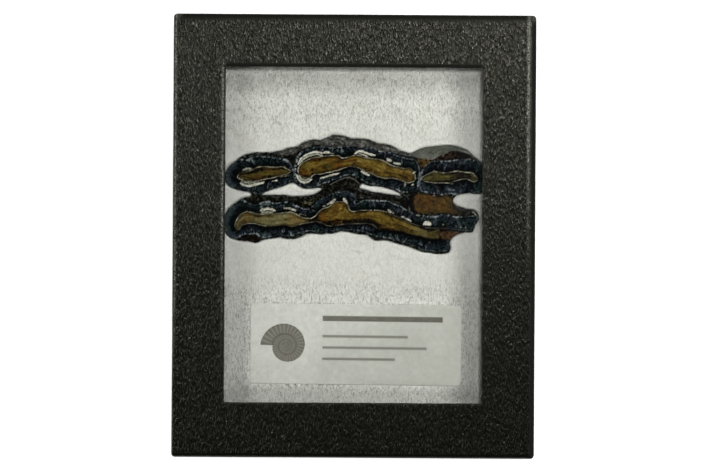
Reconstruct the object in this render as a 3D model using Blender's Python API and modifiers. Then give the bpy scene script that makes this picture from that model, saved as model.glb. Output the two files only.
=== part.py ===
"""A fossil mammoth tooth slice in a glass-topped collector's case.

The case lies flat with its glass up. The origin is at the middle of the case's underside, +X runs
across the display, +Y towards its top edge and +Z up. Sizes are in millimetres until MM turns them
into metres.
"""
import math

import bmesh
import bpy
from mathutils import Vector, noise

MM = 0.001

# Case: a telescoping pair of boxes in board, of the 4 1/2 by 5 1/2 by 3/4 inch stock size.
INCH = 25.4
CASE_WIDTH = 4.5 * INCH
CASE_LENGTH = 5.5 * INCH
CASE_HEIGHT = 0.75 * INCH
LID_WALL = 1.5
LID_TOP = 1.6
LID_SKIRT_RISE = 0.5
LID_CORNER_RADIUS = 1.3
LID_EDGE_ROUNDING = 0.5
TRAY_WALL = 1.3
TRAY_FLOOR = 1.3
TRAY_EDGE_ROUNDING = 0.25

# Window in the lid, between its left, right, bottom and top edges.
WINDOW_LEFT = -40.6
WINDOW_RIGHT = 40.2
WINDOW_BOTTOM = -52.4
WINDOW_TOP = 53.2

# Everything that touches keeps this much air between its solids.
FIT_GAP = 0.3

GLASS_THICKNESS = 2.0
GLASS_EDGE_ROUNDING = 0.2

SLICE_THICKNESS = 6.0
LABEL_THICKNESS = 0.2
LABEL_WIDTH = 66.7
LABEL_HEIGHT = 25.4
LABEL_CENTRE = (0.7, -34.3)
LABEL_CORNER_RADIUS = 1.4
LABEL_TILT = math.radians(-0.4)

# Batting: its top swells up to the glass in the middle and falls away towards the tray's walls.
PAD_GRID = (22, 27)
PAD_EDGE_DROP = 8.0
PAD_SWELL_REACH = 34.0
PAD_SWELL_POWER = 2.2
POCKET_CLEARANCE = 0.55

# Heights that follow, from the underside up.
GLASS_TOP = CASE_HEIGHT - LID_TOP - FIT_GAP
GLASS_BOTTOM = GLASS_TOP - GLASS_THICKNESS
SLICE_TOP = GLASS_BOTTOM - FIT_GAP
SLICE_BOTTOM = SLICE_TOP - SLICE_THICKNESS
TRAY_RIM = GLASS_BOTTOM - FIT_GAP
LABEL_TOP = GLASS_BOTTOM - FIT_GAP
LABEL_BOTTOM = LABEL_TOP - LABEL_THICKNESS
PAD_TOP = LABEL_BOTTOM - FIT_GAP
PAD_BOTTOM = TRAY_FLOOR + FIT_GAP
POCKET_FLOOR = SLICE_BOTTOM - FIT_GAP

# Slice: how its edges round over, how deep its side walls stay upright, and how far they wander
# inwards below that.
FACE_ROUNDING = 0.35
WALL_UPRIGHT = 2.5
WALL_WANDER = 0.7
WALL_WANDER_SCALE = 0.22
LOOP_STEPS = 2
CRUST_SLOPE = 0.55

# Silhouette of the slice, clockwise from the left end of its upper lobes.
SLICE_OUTLINE = [
    # top edge, left to right: the small left lobe, the tall middle and the right lobe
    (-40.9, 18.6), (-40.6, 20.5), (-39.9, 21.8), (-38.3, 23.0), (-36.6, 24.4), (-34.9, 25.4),
    (-32.8, 26.0), (-30.8, 26.4), (-29.5, 26.2), (-28.0, 26.4), (-26.5, 26.2), (-25.0, 26.6),
    (-23.0, 27.1), (-21.6, 27.7), (-20.0, 28.1), (-18.1, 28.2), (-16.9, 29.2), (-15.8, 29.8),
    (-13.8, 30.4), (-12.4, 30.6), (-10.8, 30.3), (-8.9, 31.1), (-7.4, 32.0), (-5.9, 32.3),
    (-3.8, 31.9), (-2.4, 31.5), (-1.0, 31.0), (1.4, 31.0), (4.1, 30.8), (5.6, 30.2),
    (7.0, 29.6), (9.2, 29.3), (11.4, 28.8), (13.0, 28.1), (14.3, 27.2), (16.0, 26.8),
    (17.2, 26.35), (18.4, 26.6), (21.0, 27.95), (23.4, 28.5), (26.4, 28.8), (29.3, 29.05),
    (31.6, 28.8), (33.6, 28.2), (35.0, 27.7), (36.4, 26.7), (37.7, 25.4), (39.1, 24.3),
    (40.3, 23.1),
    # right end, under the lid's border
    (41.1, 21.4), (41.4, 19.0), (41.2, 16.5), (40.8, 14.6),
    # right side: under the upper arm, round the deep notch and back along the lower arm
    (39.6, 13.7), (38.0, 13.6), (36.6, 13.9), (35.0, 13.7), (33.2, 13.35), (32.1, 12.8),
    (31.4, 12.0), (31.2, 11.2), (31.6, 10.4), (32.6, 9.75), (34.2, 9.2), (35.6, 8.75),
    (37.4, 8.7), (38.5, 8.1), (39.2, 7.2), (39.5, 6.0), (39.3, 4.9), (38.5, 4.1),
    (38.0, 2.9), (37.7, 1.8), (37.1, 1.35), (35.4, 1.5), (34.0, 1.1), (32.6, 0.6),
    (31.3, -0.25), (30.55, -1.1), (30.35, -2.1), (30.6, -3.4), (30.4, -4.4), (29.9, -5.1),
    # bottom edge, right to left
    (28.6, -5.4), (27.0, -5.5), (25.0, -5.35), (23.6, -5.05), (21.6, -4.9), (20.0, -4.3),
    (18.2, -3.55), (16.4, -2.95), (14.0, -2.4), (11.2, -1.5), (8.7, -1.3), (6.5, -1.3),
    (5.2, -0.4), (3.8, 0.45), (1.4, 0.6), (-0.3, 1.05), (-2.6, 1.35), (-4.2, 1.55),
    (-6.9, 0.7), (-8.8, 0.95), (-10.1, 0.35), (-11.8, 0.65), (-14.7, 0.7), (-16.4, -0.2),
    (-18.2, -0.9), (-20.2, -1.05), (-22.0, -0.9), (-23.6, -0.5), (-25.4, -0.9), (-28.3, -1.2),
    (-29.8, -1.9), (-31.3, -2.4), (-33.0, -1.85), (-35.0, -1.75), (-37.4, -1.4), (-39.4, -0.5),
    # left end: the lower lobe, then into the notch between the lobes
    (-40.8, 1.0), (-41.4, 2.8), (-41.35, 4.8), (-40.8, 6.8), (-39.7, 8.7), (-38.0, 10.0),
    (-36.2, 11.3), (-34.7, 12.15), (-33.4, 12.1), (-32.6, 12.7), (-32.8, 13.6), (-34.2, 13.95),
    (-36.3, 14.25), (-38.4, 14.85), (-40.1, 15.9), (-40.75, 17.1),
]

# Long gap between the plates on the left, where the cement has fallen out.
LEFT_GAP_OUTLINE = [
    (-29.2, 13.1), (-27.6, 14.0), (-25.4, 14.8), (-23.1, 15.4), (-21.6, 16.1), (-20.1, 16.65),
    (-18.8, 16.6), (-17.4, 15.6), (-15.9, 14.95), (-14.4, 14.85), (-12.8, 15.1), (-10.3, 15.1),
    (-10.8, 14.4), (-12.2, 13.4), (-14.2, 12.85), (-17.0, 12.6), (-20.3, 12.5), (-22.4, 13.0),
    (-25.2, 12.95), (-27.6, 12.85),
]

# Shorter gap between the plates in the middle.
MIDDLE_GAP_OUTLINE = [
    (1.6, 15.5), (1.95, 16.4), (2.9, 16.6), (4.6, 15.95), (6.8, 15.9), (9.3, 15.5),
    (11.4, 14.95), (13.2, 14.2), (14.9, 13.05), (13.4, 13.0), (11.2, 13.25), (8.4, 13.7),
    (5.3, 14.1), (3.4, 14.75), (2.0, 14.9),
]

# Where the polished face ends and the rough outer crust slopes away, left to right.
CRUST_LINE = [
    (-26.0, 26.0), (-24.0, 25.7), (-21.5, 25.5), (-19.8, 25.7), (-17.6, 26.8), (-15.2, 28.0),
    (-12.0, 28.8), (-9.5, 28.4), (-6.0, 28.1), (-2.5, 28.4), (2.0, 28.3), (5.5, 27.8),
    (9.0, 27.3), (12.0, 26.6), (15.0, 25.95), (17.5, 25.6), (20.0, 24.95), (22.6, 24.6),
    (25.2, 24.4), (26.6, 25.4), (28.6, 26.2), (30.3, 27.0), (32.0, 27.35), (34.2, 27.0),
    (36.0, 26.3),
]

# Humps of batting that stand up through the two gaps.
LEFT_GAP_HUMP = [(-25.6, 13.85), (-21.0, 15.1), (-19.2, 15.5), (-17.0, 14.4), (-13.2, 14.3), (-17.6, 13.35)]
MIDDLE_GAP_HUMP = [(3.0, 15.55), (7.0, 15.1), (11.2, 14.15), (7.0, 14.5)]


# ---------------------------------------------------------------- scene, collections and materials

def clear_scene():
    for old in list(bpy.data.objects):
        bpy.data.objects.remove(old, do_unlink=True)


def new_collection(name):
    collection = bpy.data.collections.new(name)
    bpy.context.scene.collection.children.link(collection)
    return collection


def new_material(name, colour, roughness, transmission=0.0):
    material = bpy.data.materials.new(name)
    material.use_nodes = True
    shader = material.node_tree.nodes["Principled BSDF"]
    shader.inputs["Base Color"].default_value = (*colour, 1.0)
    shader.inputs["Roughness"].default_value = roughness
    shader.inputs["Metallic"].default_value = 0.0
    shader.inputs["Transmission Weight"].default_value = transmission
    return material


def add_part(name, mesh, material):
    part = bpy.data.objects.new(name, mesh)
    part.data.materials.append(material)
    part_collection.objects.link(part)
    return part


def add_cutter(name, mesh):
    cutter = bpy.data.objects.new(name, mesh)
    cutter.hide_render = True
    cutter.display_type = "WIRE"
    cutter_collection.objects.link(cutter)
    return cutter


def cut(part, cutter):
    modifier = part.modifiers.new("cut " + cutter.name, "BOOLEAN")
    modifier.operation = "DIFFERENCE"
    modifier.solver = "EXACT"
    modifier.object = cutter


def round_sharp_edges(part, width, segments):
    modifier = part.modifiers.new("rounded edges", "BEVEL")
    modifier.limit_method = "ANGLE"
    modifier.angle_limit = math.radians(50)
    modifier.width = width * MM
    modifier.segments = segments


# ---------------------------------------------------------------- shapes

def box_mesh(name, low, high, corner_radius=0.0, corner_segments=4):
    """A box between two corners in millimetres, with its upright edges rounded if asked."""
    low = Vector(low) * MM
    high = Vector(high) * MM
    bm = bmesh.new()
    bmesh.ops.create_cube(bm, size=1.0)
    bmesh.ops.scale(bm, vec=high - low, verts=bm.verts)
    bmesh.ops.translate(bm, vec=(low + high) / 2, verts=bm.verts)
    if corner_radius > 0:
        upright = [edge for edge in bm.edges
                   if abs(edge.verts[0].co.z - edge.verts[1].co.z) > (high.z - low.z) / 2]
        bmesh.ops.bevel(bm, geom=upright, offset=corner_radius * MM, segments=corner_segments,
                        profile=0.5, affect="EDGES")
    mesh = bpy.data.meshes.new(name)
    bm.to_mesh(mesh)
    bm.free()
    return mesh


def centred_box(name, width, length, bottom, top, corner_radius=0.0):
    low = (-width / 2, -length / 2, bottom)
    high = (width / 2, length / 2, top)
    return box_mesh(name, low, high, corner_radius)


def smooth_loop(points, steps):
    """A closed Catmull-Rom curve through the points, with this many stretches between neighbours."""
    loop = []
    count = len(points)
    for index in range(count):
        before, start, end, after = (Vector(points[(index + k) % count]) for k in (-1, 0, 1, 2))
        for step in range(steps):
            t = step / steps
            loop.append(0.5 * (2 * start + (end - before) * t
                               + (2 * before - 5 * start + 4 * end - after) * t ** 2
                               + (3 * start - before - 3 * end + after) * t ** 3))
    return loop


def loop_area(loop):
    """Signed area of a closed loop: positive where it runs anticlockwise."""
    return 0.5 * sum(a.cross(b) for a, b in zip(loop, loop[1:] + loop[:1]))


def inward_normals(loop, into_hole=False):
    """Unit normals that point from each point of the loop into its inside, or out of a hole's."""
    turn = 1 if loop_area(loop) > 0 else -1
    if into_hole:
        turn = -turn
    normals = []
    for before, after in zip(loop[-1:] + loop[:-1], loop[1:] + loop[:1]):
        along = (after - before).normalized()
        normals.append(Vector((-along.y, along.x)) * turn)
    return normals


def height_on_line(line, x):
    """The line's Y at this X, or None beyond its ends."""
    for (x0, y0), (x1, y1) in zip(line, line[1:]):
        if x0 <= x <= x1:
            return y0 + (y1 - y0) * (x - x0) / (x1 - x0)
    return None


def plate_mesh(name, outlines, bottom, top):
    """A flat plate whose outline, and any holes in it, are closed loops of 2D points in millimetres."""
    curve = bpy.data.curves.new(name, "CURVE")
    curve.dimensions = "2D"
    curve.fill_mode = "BOTH"
    curve.extrude = (top - bottom) / 2 * MM
    for outline in outlines:
        spline = curve.splines.new("POLY")
        spline.points.add(len(outline) - 1)
        spline.use_cyclic_u = True
        for point, place in zip(spline.points, outline):
            point.co = (place[0] * MM, place[1] * MM, 0.0, 1.0)
    drawn = bpy.data.objects.new(name, curve)
    part_collection.objects.link(drawn)
    evaluated = drawn.evaluated_get(bpy.context.evaluated_depsgraph_get())
    mesh = bpy.data.meshes.new_from_object(evaluated)
    bpy.data.objects.remove(drawn)
    bm = bmesh.new()
    bm.from_mesh(mesh)
    bmesh.ops.remove_doubles(bm, verts=bm.verts, dist=0.00001)
    bmesh.ops.translate(bm, vec=(0, 0, (top + bottom) / 2 * MM), verts=bm.verts)
    bm.to_mesh(mesh)
    bm.free()
    return mesh


# ---------------------------------------------------------------- the case

def build_lid():
    """Board lid, wrapped over its edges, with a window and a skirt that slides over the tray."""
    lid = add_part("case_lid",
                   centred_box("case_lid", CASE_WIDTH, CASE_LENGTH, LID_SKIRT_RISE, CASE_HEIGHT,
                               LID_CORNER_RADIUS),
                   new_material("black leatherette", (0.02, 0.02, 0.021), 0.42))
    inner_width = CASE_WIDTH - 2 * LID_WALL
    inner_length = CASE_LENGTH - 2 * LID_WALL
    cut(lid, add_cutter("lid cavity", centred_box("lid cavity", inner_width, inner_length, -1.0,
                                                  CASE_HEIGHT - LID_TOP)))
    window = box_mesh("window", (WINDOW_LEFT, WINDOW_BOTTOM, SLICE_TOP),
                      (WINDOW_RIGHT, WINDOW_TOP, CASE_HEIGHT + 1.0))
    cut(lid, add_cutter("window", window))
    round_sharp_edges(lid, LID_EDGE_ROUNDING, 2)


def build_tray():
    """Open board tray that the case stands on."""
    width = CASE_WIDTH - 2 * (LID_WALL + FIT_GAP)
    length = CASE_LENGTH - 2 * (LID_WALL + FIT_GAP)
    tray = add_part("case_tray", centred_box("case_tray", width, length, 0.0, TRAY_RIM),
                    new_material("black board", (0.025, 0.025, 0.026), 0.6))
    cut(tray, add_cutter("tray cavity", centred_box("tray cavity", width - 2 * TRAY_WALL,
                                                    length - 2 * TRAY_WALL, TRAY_FLOOR,
                                                    TRAY_RIM + 1.0)))
    round_sharp_edges(tray, TRAY_EDGE_ROUNDING, 1)


def build_glass():
    """Clear pane inside the lid, held up against its top by the tray's rim."""
    width = CASE_WIDTH - 2 * (LID_WALL + FIT_GAP)
    length = CASE_LENGTH - 2 * (LID_WALL + FIT_GAP)
    glass = add_part("glass_pane", centred_box("glass_pane", width, length, GLASS_BOTTOM, GLASS_TOP),
                     new_material("clear glass", (0.95, 0.97, 0.96), 0.02, transmission=1.0))
    round_sharp_edges(glass, GLASS_EDGE_ROUNDING, 1)


def pad_height(x, y, half_width, half_length):
    """Height of the batting's swell at this place: full in the middle, low beside the tray's walls."""
    fall = 0.0
    for from_wall in (half_width - abs(x), half_length - abs(y)):
        fall += max(0.0, 1 - from_wall / PAD_SWELL_REACH) ** PAD_SWELL_POWER
    return PAD_TOP - PAD_EDGE_DROP * min(1.0, fall)


def pad_mesh(half_width, half_length):
    """A flat-bottomed cushion: a grid lifted to the swell, extruded down to the tray's floor."""
    bm = bmesh.new()
    bmesh.ops.create_grid(bm, x_segments=PAD_GRID[0], y_segments=PAD_GRID[1], size=1.0)
    bmesh.ops.scale(bm, vec=(half_width, half_length, 1.0), verts=bm.verts)
    top_verts = list(bm.verts)
    extruded = bmesh.ops.extrude_face_region(bm, geom=bm.faces[:], use_keep_orig=True)
    for vert in top_verts:
        vert.co.z = pad_height(vert.co.x, vert.co.y, half_width, half_length)
    for part_of_base in extruded["geom"]:
        if isinstance(part_of_base, bmesh.types.BMVert):
            part_of_base.co.z = PAD_BOTTOM
    bmesh.ops.scale(bm, vec=(MM, MM, MM), verts=bm.verts)
    bmesh.ops.recalc_face_normals(bm, faces=bm.faces)
    mesh = bpy.data.meshes.new("batting_pad")
    bm.to_mesh(mesh)
    bm.free()
    return mesh


def build_pad():
    """Polyester batting that fills the tray, pressed down to the slice's shape."""
    half_width = CASE_WIDTH / 2 - LID_WALL - TRAY_WALL - 2 * FIT_GAP
    half_length = CASE_LENGTH / 2 - LID_WALL - TRAY_WALL - 2 * FIT_GAP
    pad = add_part("batting_pad", pad_mesh(half_width, half_length),
                   new_material("white batting", (0.8, 0.8, 0.78), 0.95))
    outline = [Vector(point) for point in SLICE_OUTLINE]
    pocket_edge = [point - normal * POCKET_CLEARANCE
                   for point, normal in zip(outline, inward_normals(outline))]
    pocket = plate_mesh("slice pocket", [pocket_edge, LEFT_GAP_HUMP, MIDDLE_GAP_HUMP],
                        POCKET_FLOOR, PAD_TOP + 1.0)
    cut(pad, add_cutter("slice pocket", pocket))


def build_label():
    """Specimen label of translucent film, with rounded corners."""
    half_width = LABEL_WIDTH / 2 - LABEL_CORNER_RADIUS
    half_height = LABEL_HEIGHT / 2 - LABEL_CORNER_RADIUS
    corner_steps = 4
    outline = []
    for quarter, (side_x, side_y) in enumerate(((1, 1), (-1, 1), (-1, -1), (1, -1))):
        for step in range(corner_steps + 1):
            angle = (quarter + step / corner_steps) * math.pi / 2
            outline.append((side_x * half_width + LABEL_CORNER_RADIUS * math.cos(angle),
                            side_y * half_height + LABEL_CORNER_RADIUS * math.sin(angle)))
    label = add_part("specimen_label",
                     plate_mesh("specimen_label", [outline], LABEL_BOTTOM, LABEL_TOP),
                     new_material("label film", (0.6, 0.62, 0.58), 0.6))
    label.location = (LABEL_CENTRE[0] * MM, LABEL_CENTRE[1] * MM, 0.0)
    label.rotation_euler = (0.0, 0.0, LABEL_TILT)


# ---------------------------------------------------------------- the tooth slice

def face_edge(point, normal):
    """Where the polished face ends inside this silhouette point, and how far the edge drops there."""
    crust = height_on_line(CRUST_LINE, point.x)
    if crust is not None and crust < point.y - 2 * FACE_ROUNDING:
        return Vector((point.x, crust)), (point.y - crust) * CRUST_SLOPE
    return point + normal * FACE_ROUNDING, FACE_ROUNDING


def wandered(point, normal, depth):
    """The silhouette point drawn in by the natural unevenness of the tooth at this depth."""
    place = Vector((point.x * WALL_WANDER_SCALE, point.y * WALL_WANDER_SCALE, depth))
    return point + normal * WALL_WANDER * abs(noise.noise(place))


def wall_rings(outline, is_hole):
    """Rings of 3D points down one wall of the slice, from its polished face to its sawn back."""
    loop = smooth_loop(outline, LOOP_STEPS)
    upright_foot = SLICE_TOP - WALL_UPRIGHT
    columns = []
    for point, normal in zip(loop, inward_normals(loop, is_hole)):
        edge, drop = point + normal * FACE_ROUNDING, FACE_ROUNDING
        if not is_hole:
            edge, drop = face_edge(point, normal)
        middle = wandered(point, normal, 1.0)
        lower = wandered(point, normal, 2.0)
        back = lower + normal * FACE_ROUNDING
        columns.append([
            (edge.x, edge.y, SLICE_TOP),
            (point.x, point.y, SLICE_TOP - drop),
            (point.x, point.y, upright_foot),
            (middle.x, middle.y, (upright_foot + SLICE_BOTTOM) / 2),
            (lower.x, lower.y, SLICE_BOTTOM + FACE_ROUNDING),
            (back.x, back.y, SLICE_BOTTOM),
        ])
    return list(zip(*columns))


def build_slice():
    """One solid: a sawn and polished slab through the tooth's plates, with its natural outline."""
    bm = bmesh.new()
    face_loop = []
    back_loop = []
    outlines = [(SLICE_OUTLINE, False), (LEFT_GAP_OUTLINE, True), (MIDDLE_GAP_OUTLINE, True)]
    for outline, is_hole in outlines:
        edge_rings = []
        for ring in wall_rings(outline, is_hole):
            verts = [bm.verts.new(Vector(place) * MM) for place in ring]
            edge_rings.append([bm.edges.new((a, b)) for a, b in zip(verts, verts[1:] + verts[:1])])
        for upper, lower in zip(edge_rings, edge_rings[1:]):
            bmesh.ops.bridge_loops(bm, edges=upper + lower)
        face_loop += edge_rings[0]
        back_loop += edge_rings[-1]
    bmesh.ops.triangle_fill(bm, use_beauty=True, use_dissolve=False, edges=face_loop)
    bmesh.ops.triangle_fill(bm, use_beauty=True, use_dissolve=False, edges=back_loop)
    bmesh.ops.recalc_face_normals(bm, faces=bm.faces)
    mesh = bpy.data.meshes.new("tooth_slice")
    bm.to_mesh(mesh)
    bm.free()
    tooth = add_part("tooth_slice", mesh, new_material("fossil tooth", (0.09, 0.085, 0.07), 0.3))
    mesh.shade_smooth()
    mesh.set_sharp_from_angle(angle=math.radians(25))
    return tooth


clear_scene()
part_collection = new_collection("mammoth tooth slice")
cutter_collection = new_collection("cutters")
build_tray()
build_pad()
build_slice()
build_label()
build_glass()
build_lid()
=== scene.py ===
"""Looks of a fossil mammoth tooth slice in its glass-topped collector's case.

The lid is board wrapped in embossed leatherette, over a plain board tray. Under its pane lie soft
batting, a printed film label and the sawn and polished slice. Lengths are in millimetres in the row
frame, +X across the display, +Y towards its top edge and +Z up, until MM turns them into metres.
Colours are sRGB numbers from 0 to 255 until linear() turns them into light.
"""
import math

import bmesh
import bpy
import numpy as np
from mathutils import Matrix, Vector, geometry


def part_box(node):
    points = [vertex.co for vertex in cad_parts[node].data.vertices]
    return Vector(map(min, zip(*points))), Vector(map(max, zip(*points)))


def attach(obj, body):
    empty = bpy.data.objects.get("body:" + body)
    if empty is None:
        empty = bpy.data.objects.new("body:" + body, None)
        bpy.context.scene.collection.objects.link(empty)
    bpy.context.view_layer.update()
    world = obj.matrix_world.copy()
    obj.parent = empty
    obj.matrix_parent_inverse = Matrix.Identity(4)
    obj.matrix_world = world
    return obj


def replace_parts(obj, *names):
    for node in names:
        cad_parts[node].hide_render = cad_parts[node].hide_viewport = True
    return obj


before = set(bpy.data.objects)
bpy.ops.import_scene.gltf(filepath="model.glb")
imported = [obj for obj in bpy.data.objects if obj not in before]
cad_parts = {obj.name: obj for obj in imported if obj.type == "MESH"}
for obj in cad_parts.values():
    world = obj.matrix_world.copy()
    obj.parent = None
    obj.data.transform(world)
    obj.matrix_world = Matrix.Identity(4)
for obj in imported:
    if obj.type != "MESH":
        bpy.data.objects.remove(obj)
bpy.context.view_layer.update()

MM = 0.001

# Case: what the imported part's boxes don't tell.
LID_WALL = 1.5
LID_TOP = 1.6
LID_CORNER_RADIUS = 1.3
LID_EDGE_ROUNDING = 0.5
WINDOW_EDGE_ROUNDING = 0.45

# Slice: the CRUST_LINE is where its level polished face ends and its weathered back begins to fall away.
CRUST_SLOPE = 0.55
CRUST_LINE = [(-26.0, 26.0), (-24.0, 25.7), (-21.5, 25.5), (-19.8, 25.7), (-17.6, 26.8), (-15.2, 28.0),
              (-12.0, 28.8), (-9.5, 28.4), (-6.0, 28.1), (-2.5, 28.4), (2.0, 28.3), (5.5, 27.8), (9.0, 27.3),
              (12.0, 26.6), (15.0, 25.95), (17.5, 25.6), (20.0, 24.95), (22.6, 24.6), (25.2, 24.4),
              (26.6, 25.4), (28.6, 26.2), (30.3, 27.0), (32.0, 27.35), (34.2, 27.0), (36.0, 26.3)]

# ------------------------------------------------------------------ settings

LID_LOW, LID_HIGH = [np.array(corner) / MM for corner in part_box("case_lid")]
LID_FACE_RINGS, LID_SIDE_RINGS, LID_ROUND_RINGS = 40, 34, 4
LID_AROUND = (256, 310)                    # points along a short and a long side
LID_CORNER_STEPS = 5                       # points along half of a round corner
LID_LIP, LID_RIM = 1.0, 0.3                # height of the window's rounded lip, and bevel of the lower rim
WINDOW_RADIUS, FACE_INNER_RADIUS, LEAST_RADIUS = 0.3, 0.6, 0.2
LEATHER_PEBBLE, LEATHER_PEBBLE_STRAY = (0.95, 1.7, 1.1), 0.55
LEATHER_DEPTH, LEATHER_CREASE = 0.05, 0.34
LID_WAVE = 0.12
FLAP_REACH, FLAP_THICKNESS, FLAP_SLANT = 11.0, 0.12, 0.25
FOLD_RIGHT, FOLD_LEFT, FOLD_LONG, FOLD_BELOW = 2.9, 1.0, 1.3, 6.0
FOLD_RIGHT_DROP, FOLD_LEFT_DROP, FOLD_LONG_DROP = 1.3, 0.4, 0.8
# strengths of the painted highlight and wear on the lid's left side, right fold and corners
WEAR_AND_HIGHLIGHT_SIDE, WEAR_AND_HIGHLIGHT_FOLD, WEAR_AND_HIGHLIGHT_CORNER = 0.8, 1.3, 0.5
# the grain's creases and its crests, the crests painted paler as wear and as painted highlight
LEATHER_DARK, LEATHER_PALE = (1, 1, 0), (30, 30, 24)
LEATHER_TINT = (1.0, 1.0, 0.82, 1.0)
# the second is the near white of the painted highlight and wear along the lid's edges
LEATHER_CLOUD, LEATHER_WORN_AND_LIT = (13, 13, 10), (200, 200, 188)
LEATHER_SHINE, LEATHER_ROUGH, LEATHER_RIM_ROUGH, LEATHER_EMBOSS = 0.45, (0.36, 0.22), 0.45, 0.37
LEATHER_RIDGE, LEATHER_CREST = (0.41, 1.4, 0.58), (0.46, 0.58)
BOARD_DARK, BOARD_PALE, BOARD_SPECK = (24, 24, 23), (38, 37, 35), (58, 57, 53)

PAD_CREST, PAD_EDGE_DROP, PAD_SWELL_REACH, PAD_SWELL_POWER = 14.45, 5.0, 15.0, 2.2
PAD_WINDOW_RISE, PAD_WINDOW_REACH = 0.45, 5.0
PAD_WISP, PAD_TUFT, PAD_CELL = 0.32, 0.25, 0.52
PAD_SNAP = 0.62                            # share of a cell within which vertices close up to an outline
PAD_BAKE_FOOT = 0.06                       # the bake above this is the top's, and below it the sides'
PAD_COLLAR, PAD_COLLAR_REACH, PAD_ROCK_GAP, PAD_TUCK = 0.4, 7.0, 0.1, 0.2
PAD_BELOW, PAD_BASE_SHARE, PAD_FILL = 0.3, 0.995, 0.85
FILM_COLLAR, FILM_COLLAR_REACH, FILM_TUCK = 0.05, 5.0, 0.06
BATTING_SHADE, BATTING_LIGHT, BATTING_CLOUD = (236, 237, 228), (250, 251, 242), (239, 240, 231)
# the first is the painted shade between the batting's loose strands
BATTING_STRAND_SHADE, BATTING_SHINE = (180, 181, 172), 0.15
FIBRE_COUNT, FIBRE_STEPS, FIBRE_SIDES, FIBRE_RADIUS = 4600, 8, 3, (0.022, 0.05)
FIBRE_STRIDE, FIBRE_BEND, FIBRE_KINK, FIBRE_SPREAD = (0.3, 0.85), 0.22, 0.16, 2
FIBRE_ARCH, FIBRE_SINK = (0.05, 0.5), (-0.08, 0.06)
FIBRE_FROM_ROCK, FIBRE_FROM_FILM, FIBRE_UNDER_GLASS = 0.25, 0.15, 0.05

LABEL_SIZE, LABEL_CORNER, LABEL_TILT, LABEL_CELL = (66.7, 25.4), 1.4, math.radians(-0.4), 0.2
LABEL_EDGE_DROP, LABEL_WAVE = 0.04, 0.03
LABEL_INK, LABEL_BLANK, LABEL_CLOUD = (104, 102, 88), (170.0, 171.0, 161.0), (150, 152, 142)
LABEL_BARS_FROM = -10.5                    # left end of the bars, each with its middle, length and height
LABEL_BARS = [(8.2, 38.0, 1.7), (2.6, 27.0, 0.8), (-1.0, 33.0, 0.8), (-4.6, 23.0, 0.8)]
LABEL_THIN_INK = 0.72                      # strength of the ink in the bars up to 1 mm high
AMMONITE = (-22.0, -0.6, 5.9)              # its middle and its size
AMMONITE_GROWTH, AMMONITE_RIBS = 1.9, 30   # at each turn
PRINT_SOFTNESS, COIL_SOFTNESS = 0.08, 0.05

FACE_ROUNDING, FACE_PITS, CRUST_LUMPS, SLICE_CELL = 0.35, 0.05, 0.55, 0.18
CHIP_DEPTH, CHIP_BACK_DEPTH, CHIP_REACH = 0.18, 0.36, 4
WALL_WANDER, WALL_STEP, WALL_FADE = 0.7, 0.12, 1.2
FACE_MARGIN = 0.6                          # share of a cell that whole cells keep from the outline
FACE_BAKE_FOOT, WALL_BAKE_TOP, WALL_BAKE_HEIGHT = 0.2, 0.19, 0.18
STONE_SHINE, STONE_GRAIN, POLISH_ROUGH, WALL_ROUGH = 0.22, (190, 190, 190), 0.17, 0.7
WALL_LEVELS = (0.35, 0.8, 1.4, 2.1, 2.8, 3.5, 4.2, 4.9, 5.5, 6.0)
CREAM, CREAM_LOWER = (196, 193, 168), (176, 174, 150)

BLOCK = 4000                               # places measured at a time, to spare memory
SECTION_DEPTH = 2.4                        # below the slice top, where its walls are still upright
LIP_DEPTH = 0.8                            # below the lid's face, where the window's sides are upright

# Stage: the case as the photo frames it, under a key light overhead and a low one on each of three sides.
PHOTO_SIZE, PHOTO_SCALE = (708, 472), 3.183          # pixels, and pixels to a millimetre at the lid's face
DISPLAY_PIXEL, DISPLAY_ASKEW = (354.0, 236.2), 0.35  # where the case's middle lies, and its turn in degrees
CAMERA_ABOVE, SENSOR = 0.6, 36.0                     # metres, and the sensor's width in millimetres
ROOM_LEVEL, FLOOR_GLOW, FLOOR_REACH = 0.012, 0.92, 6.0
LAMP_AIM = (0.0, 0.0, 0.01)
SOFTBOXES = [                              # name, place and size in metres, and power in watts
    ("softbox_key", (0.12, 0.165, 0.42), 0.13, 0.83),
    ("softbox_left", (-0.60, 0.0, 0.22), 0.30, 0.99),
    ("softbox_right", (0.60, 0.0, 0.20), 0.30, 0.32),
    ("softbox_front", (0.0, -0.60, 0.22), 0.30, 0.45),
]


# ------------------------------------------------------------------ numbers made by rule: noise

def lattice(ix, iy, seed):
    """A fixed pseudo-random number from 0 to 1 for each whole-number lattice point."""
    bits = (ix.astype(np.int64) * 374761393 + iy.astype(np.int64) * 668265263 + seed * 974634777) & 0xFFFFFFFF
    bits = ((bits ^ (bits >> 13)) * 1274126177) & 0xFFFFFFFF
    return ((bits ^ (bits >> 16)) & 0xFFFF) / 65535.0


def noise2(x, y, seed):
    """Smooth value noise from 0 to 1, one lattice cell to each unit of x and y."""
    x0, y0 = np.floor(x), np.floor(y)
    u, v = x - x0, y - y0
    u, v = u * u * (3 - 2 * u), v * v * (3 - 2 * v)
    low = lattice(x0, y0, seed) * (1 - u) + lattice(x0 + 1, y0, seed) * u
    high = lattice(x0, y0 + 1, seed) * (1 - u) + lattice(x0 + 1, y0 + 1, seed) * u
    return low * (1 - v) + high * v


def fractal(x, y, seed, octaves=3):
    """Value noise from 0 to 1 in layers, each about twice as fine and half as strong as the one before."""
    total, weight, scale = 0.0, 0.0, 1.0
    for octave in range(octaves):
        amount = 0.55 ** octave
        total = total + noise2(x * scale, y * scale, seed + octave * 17) * amount
        weight += amount
        scale *= 2.07
    return total / weight


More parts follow.
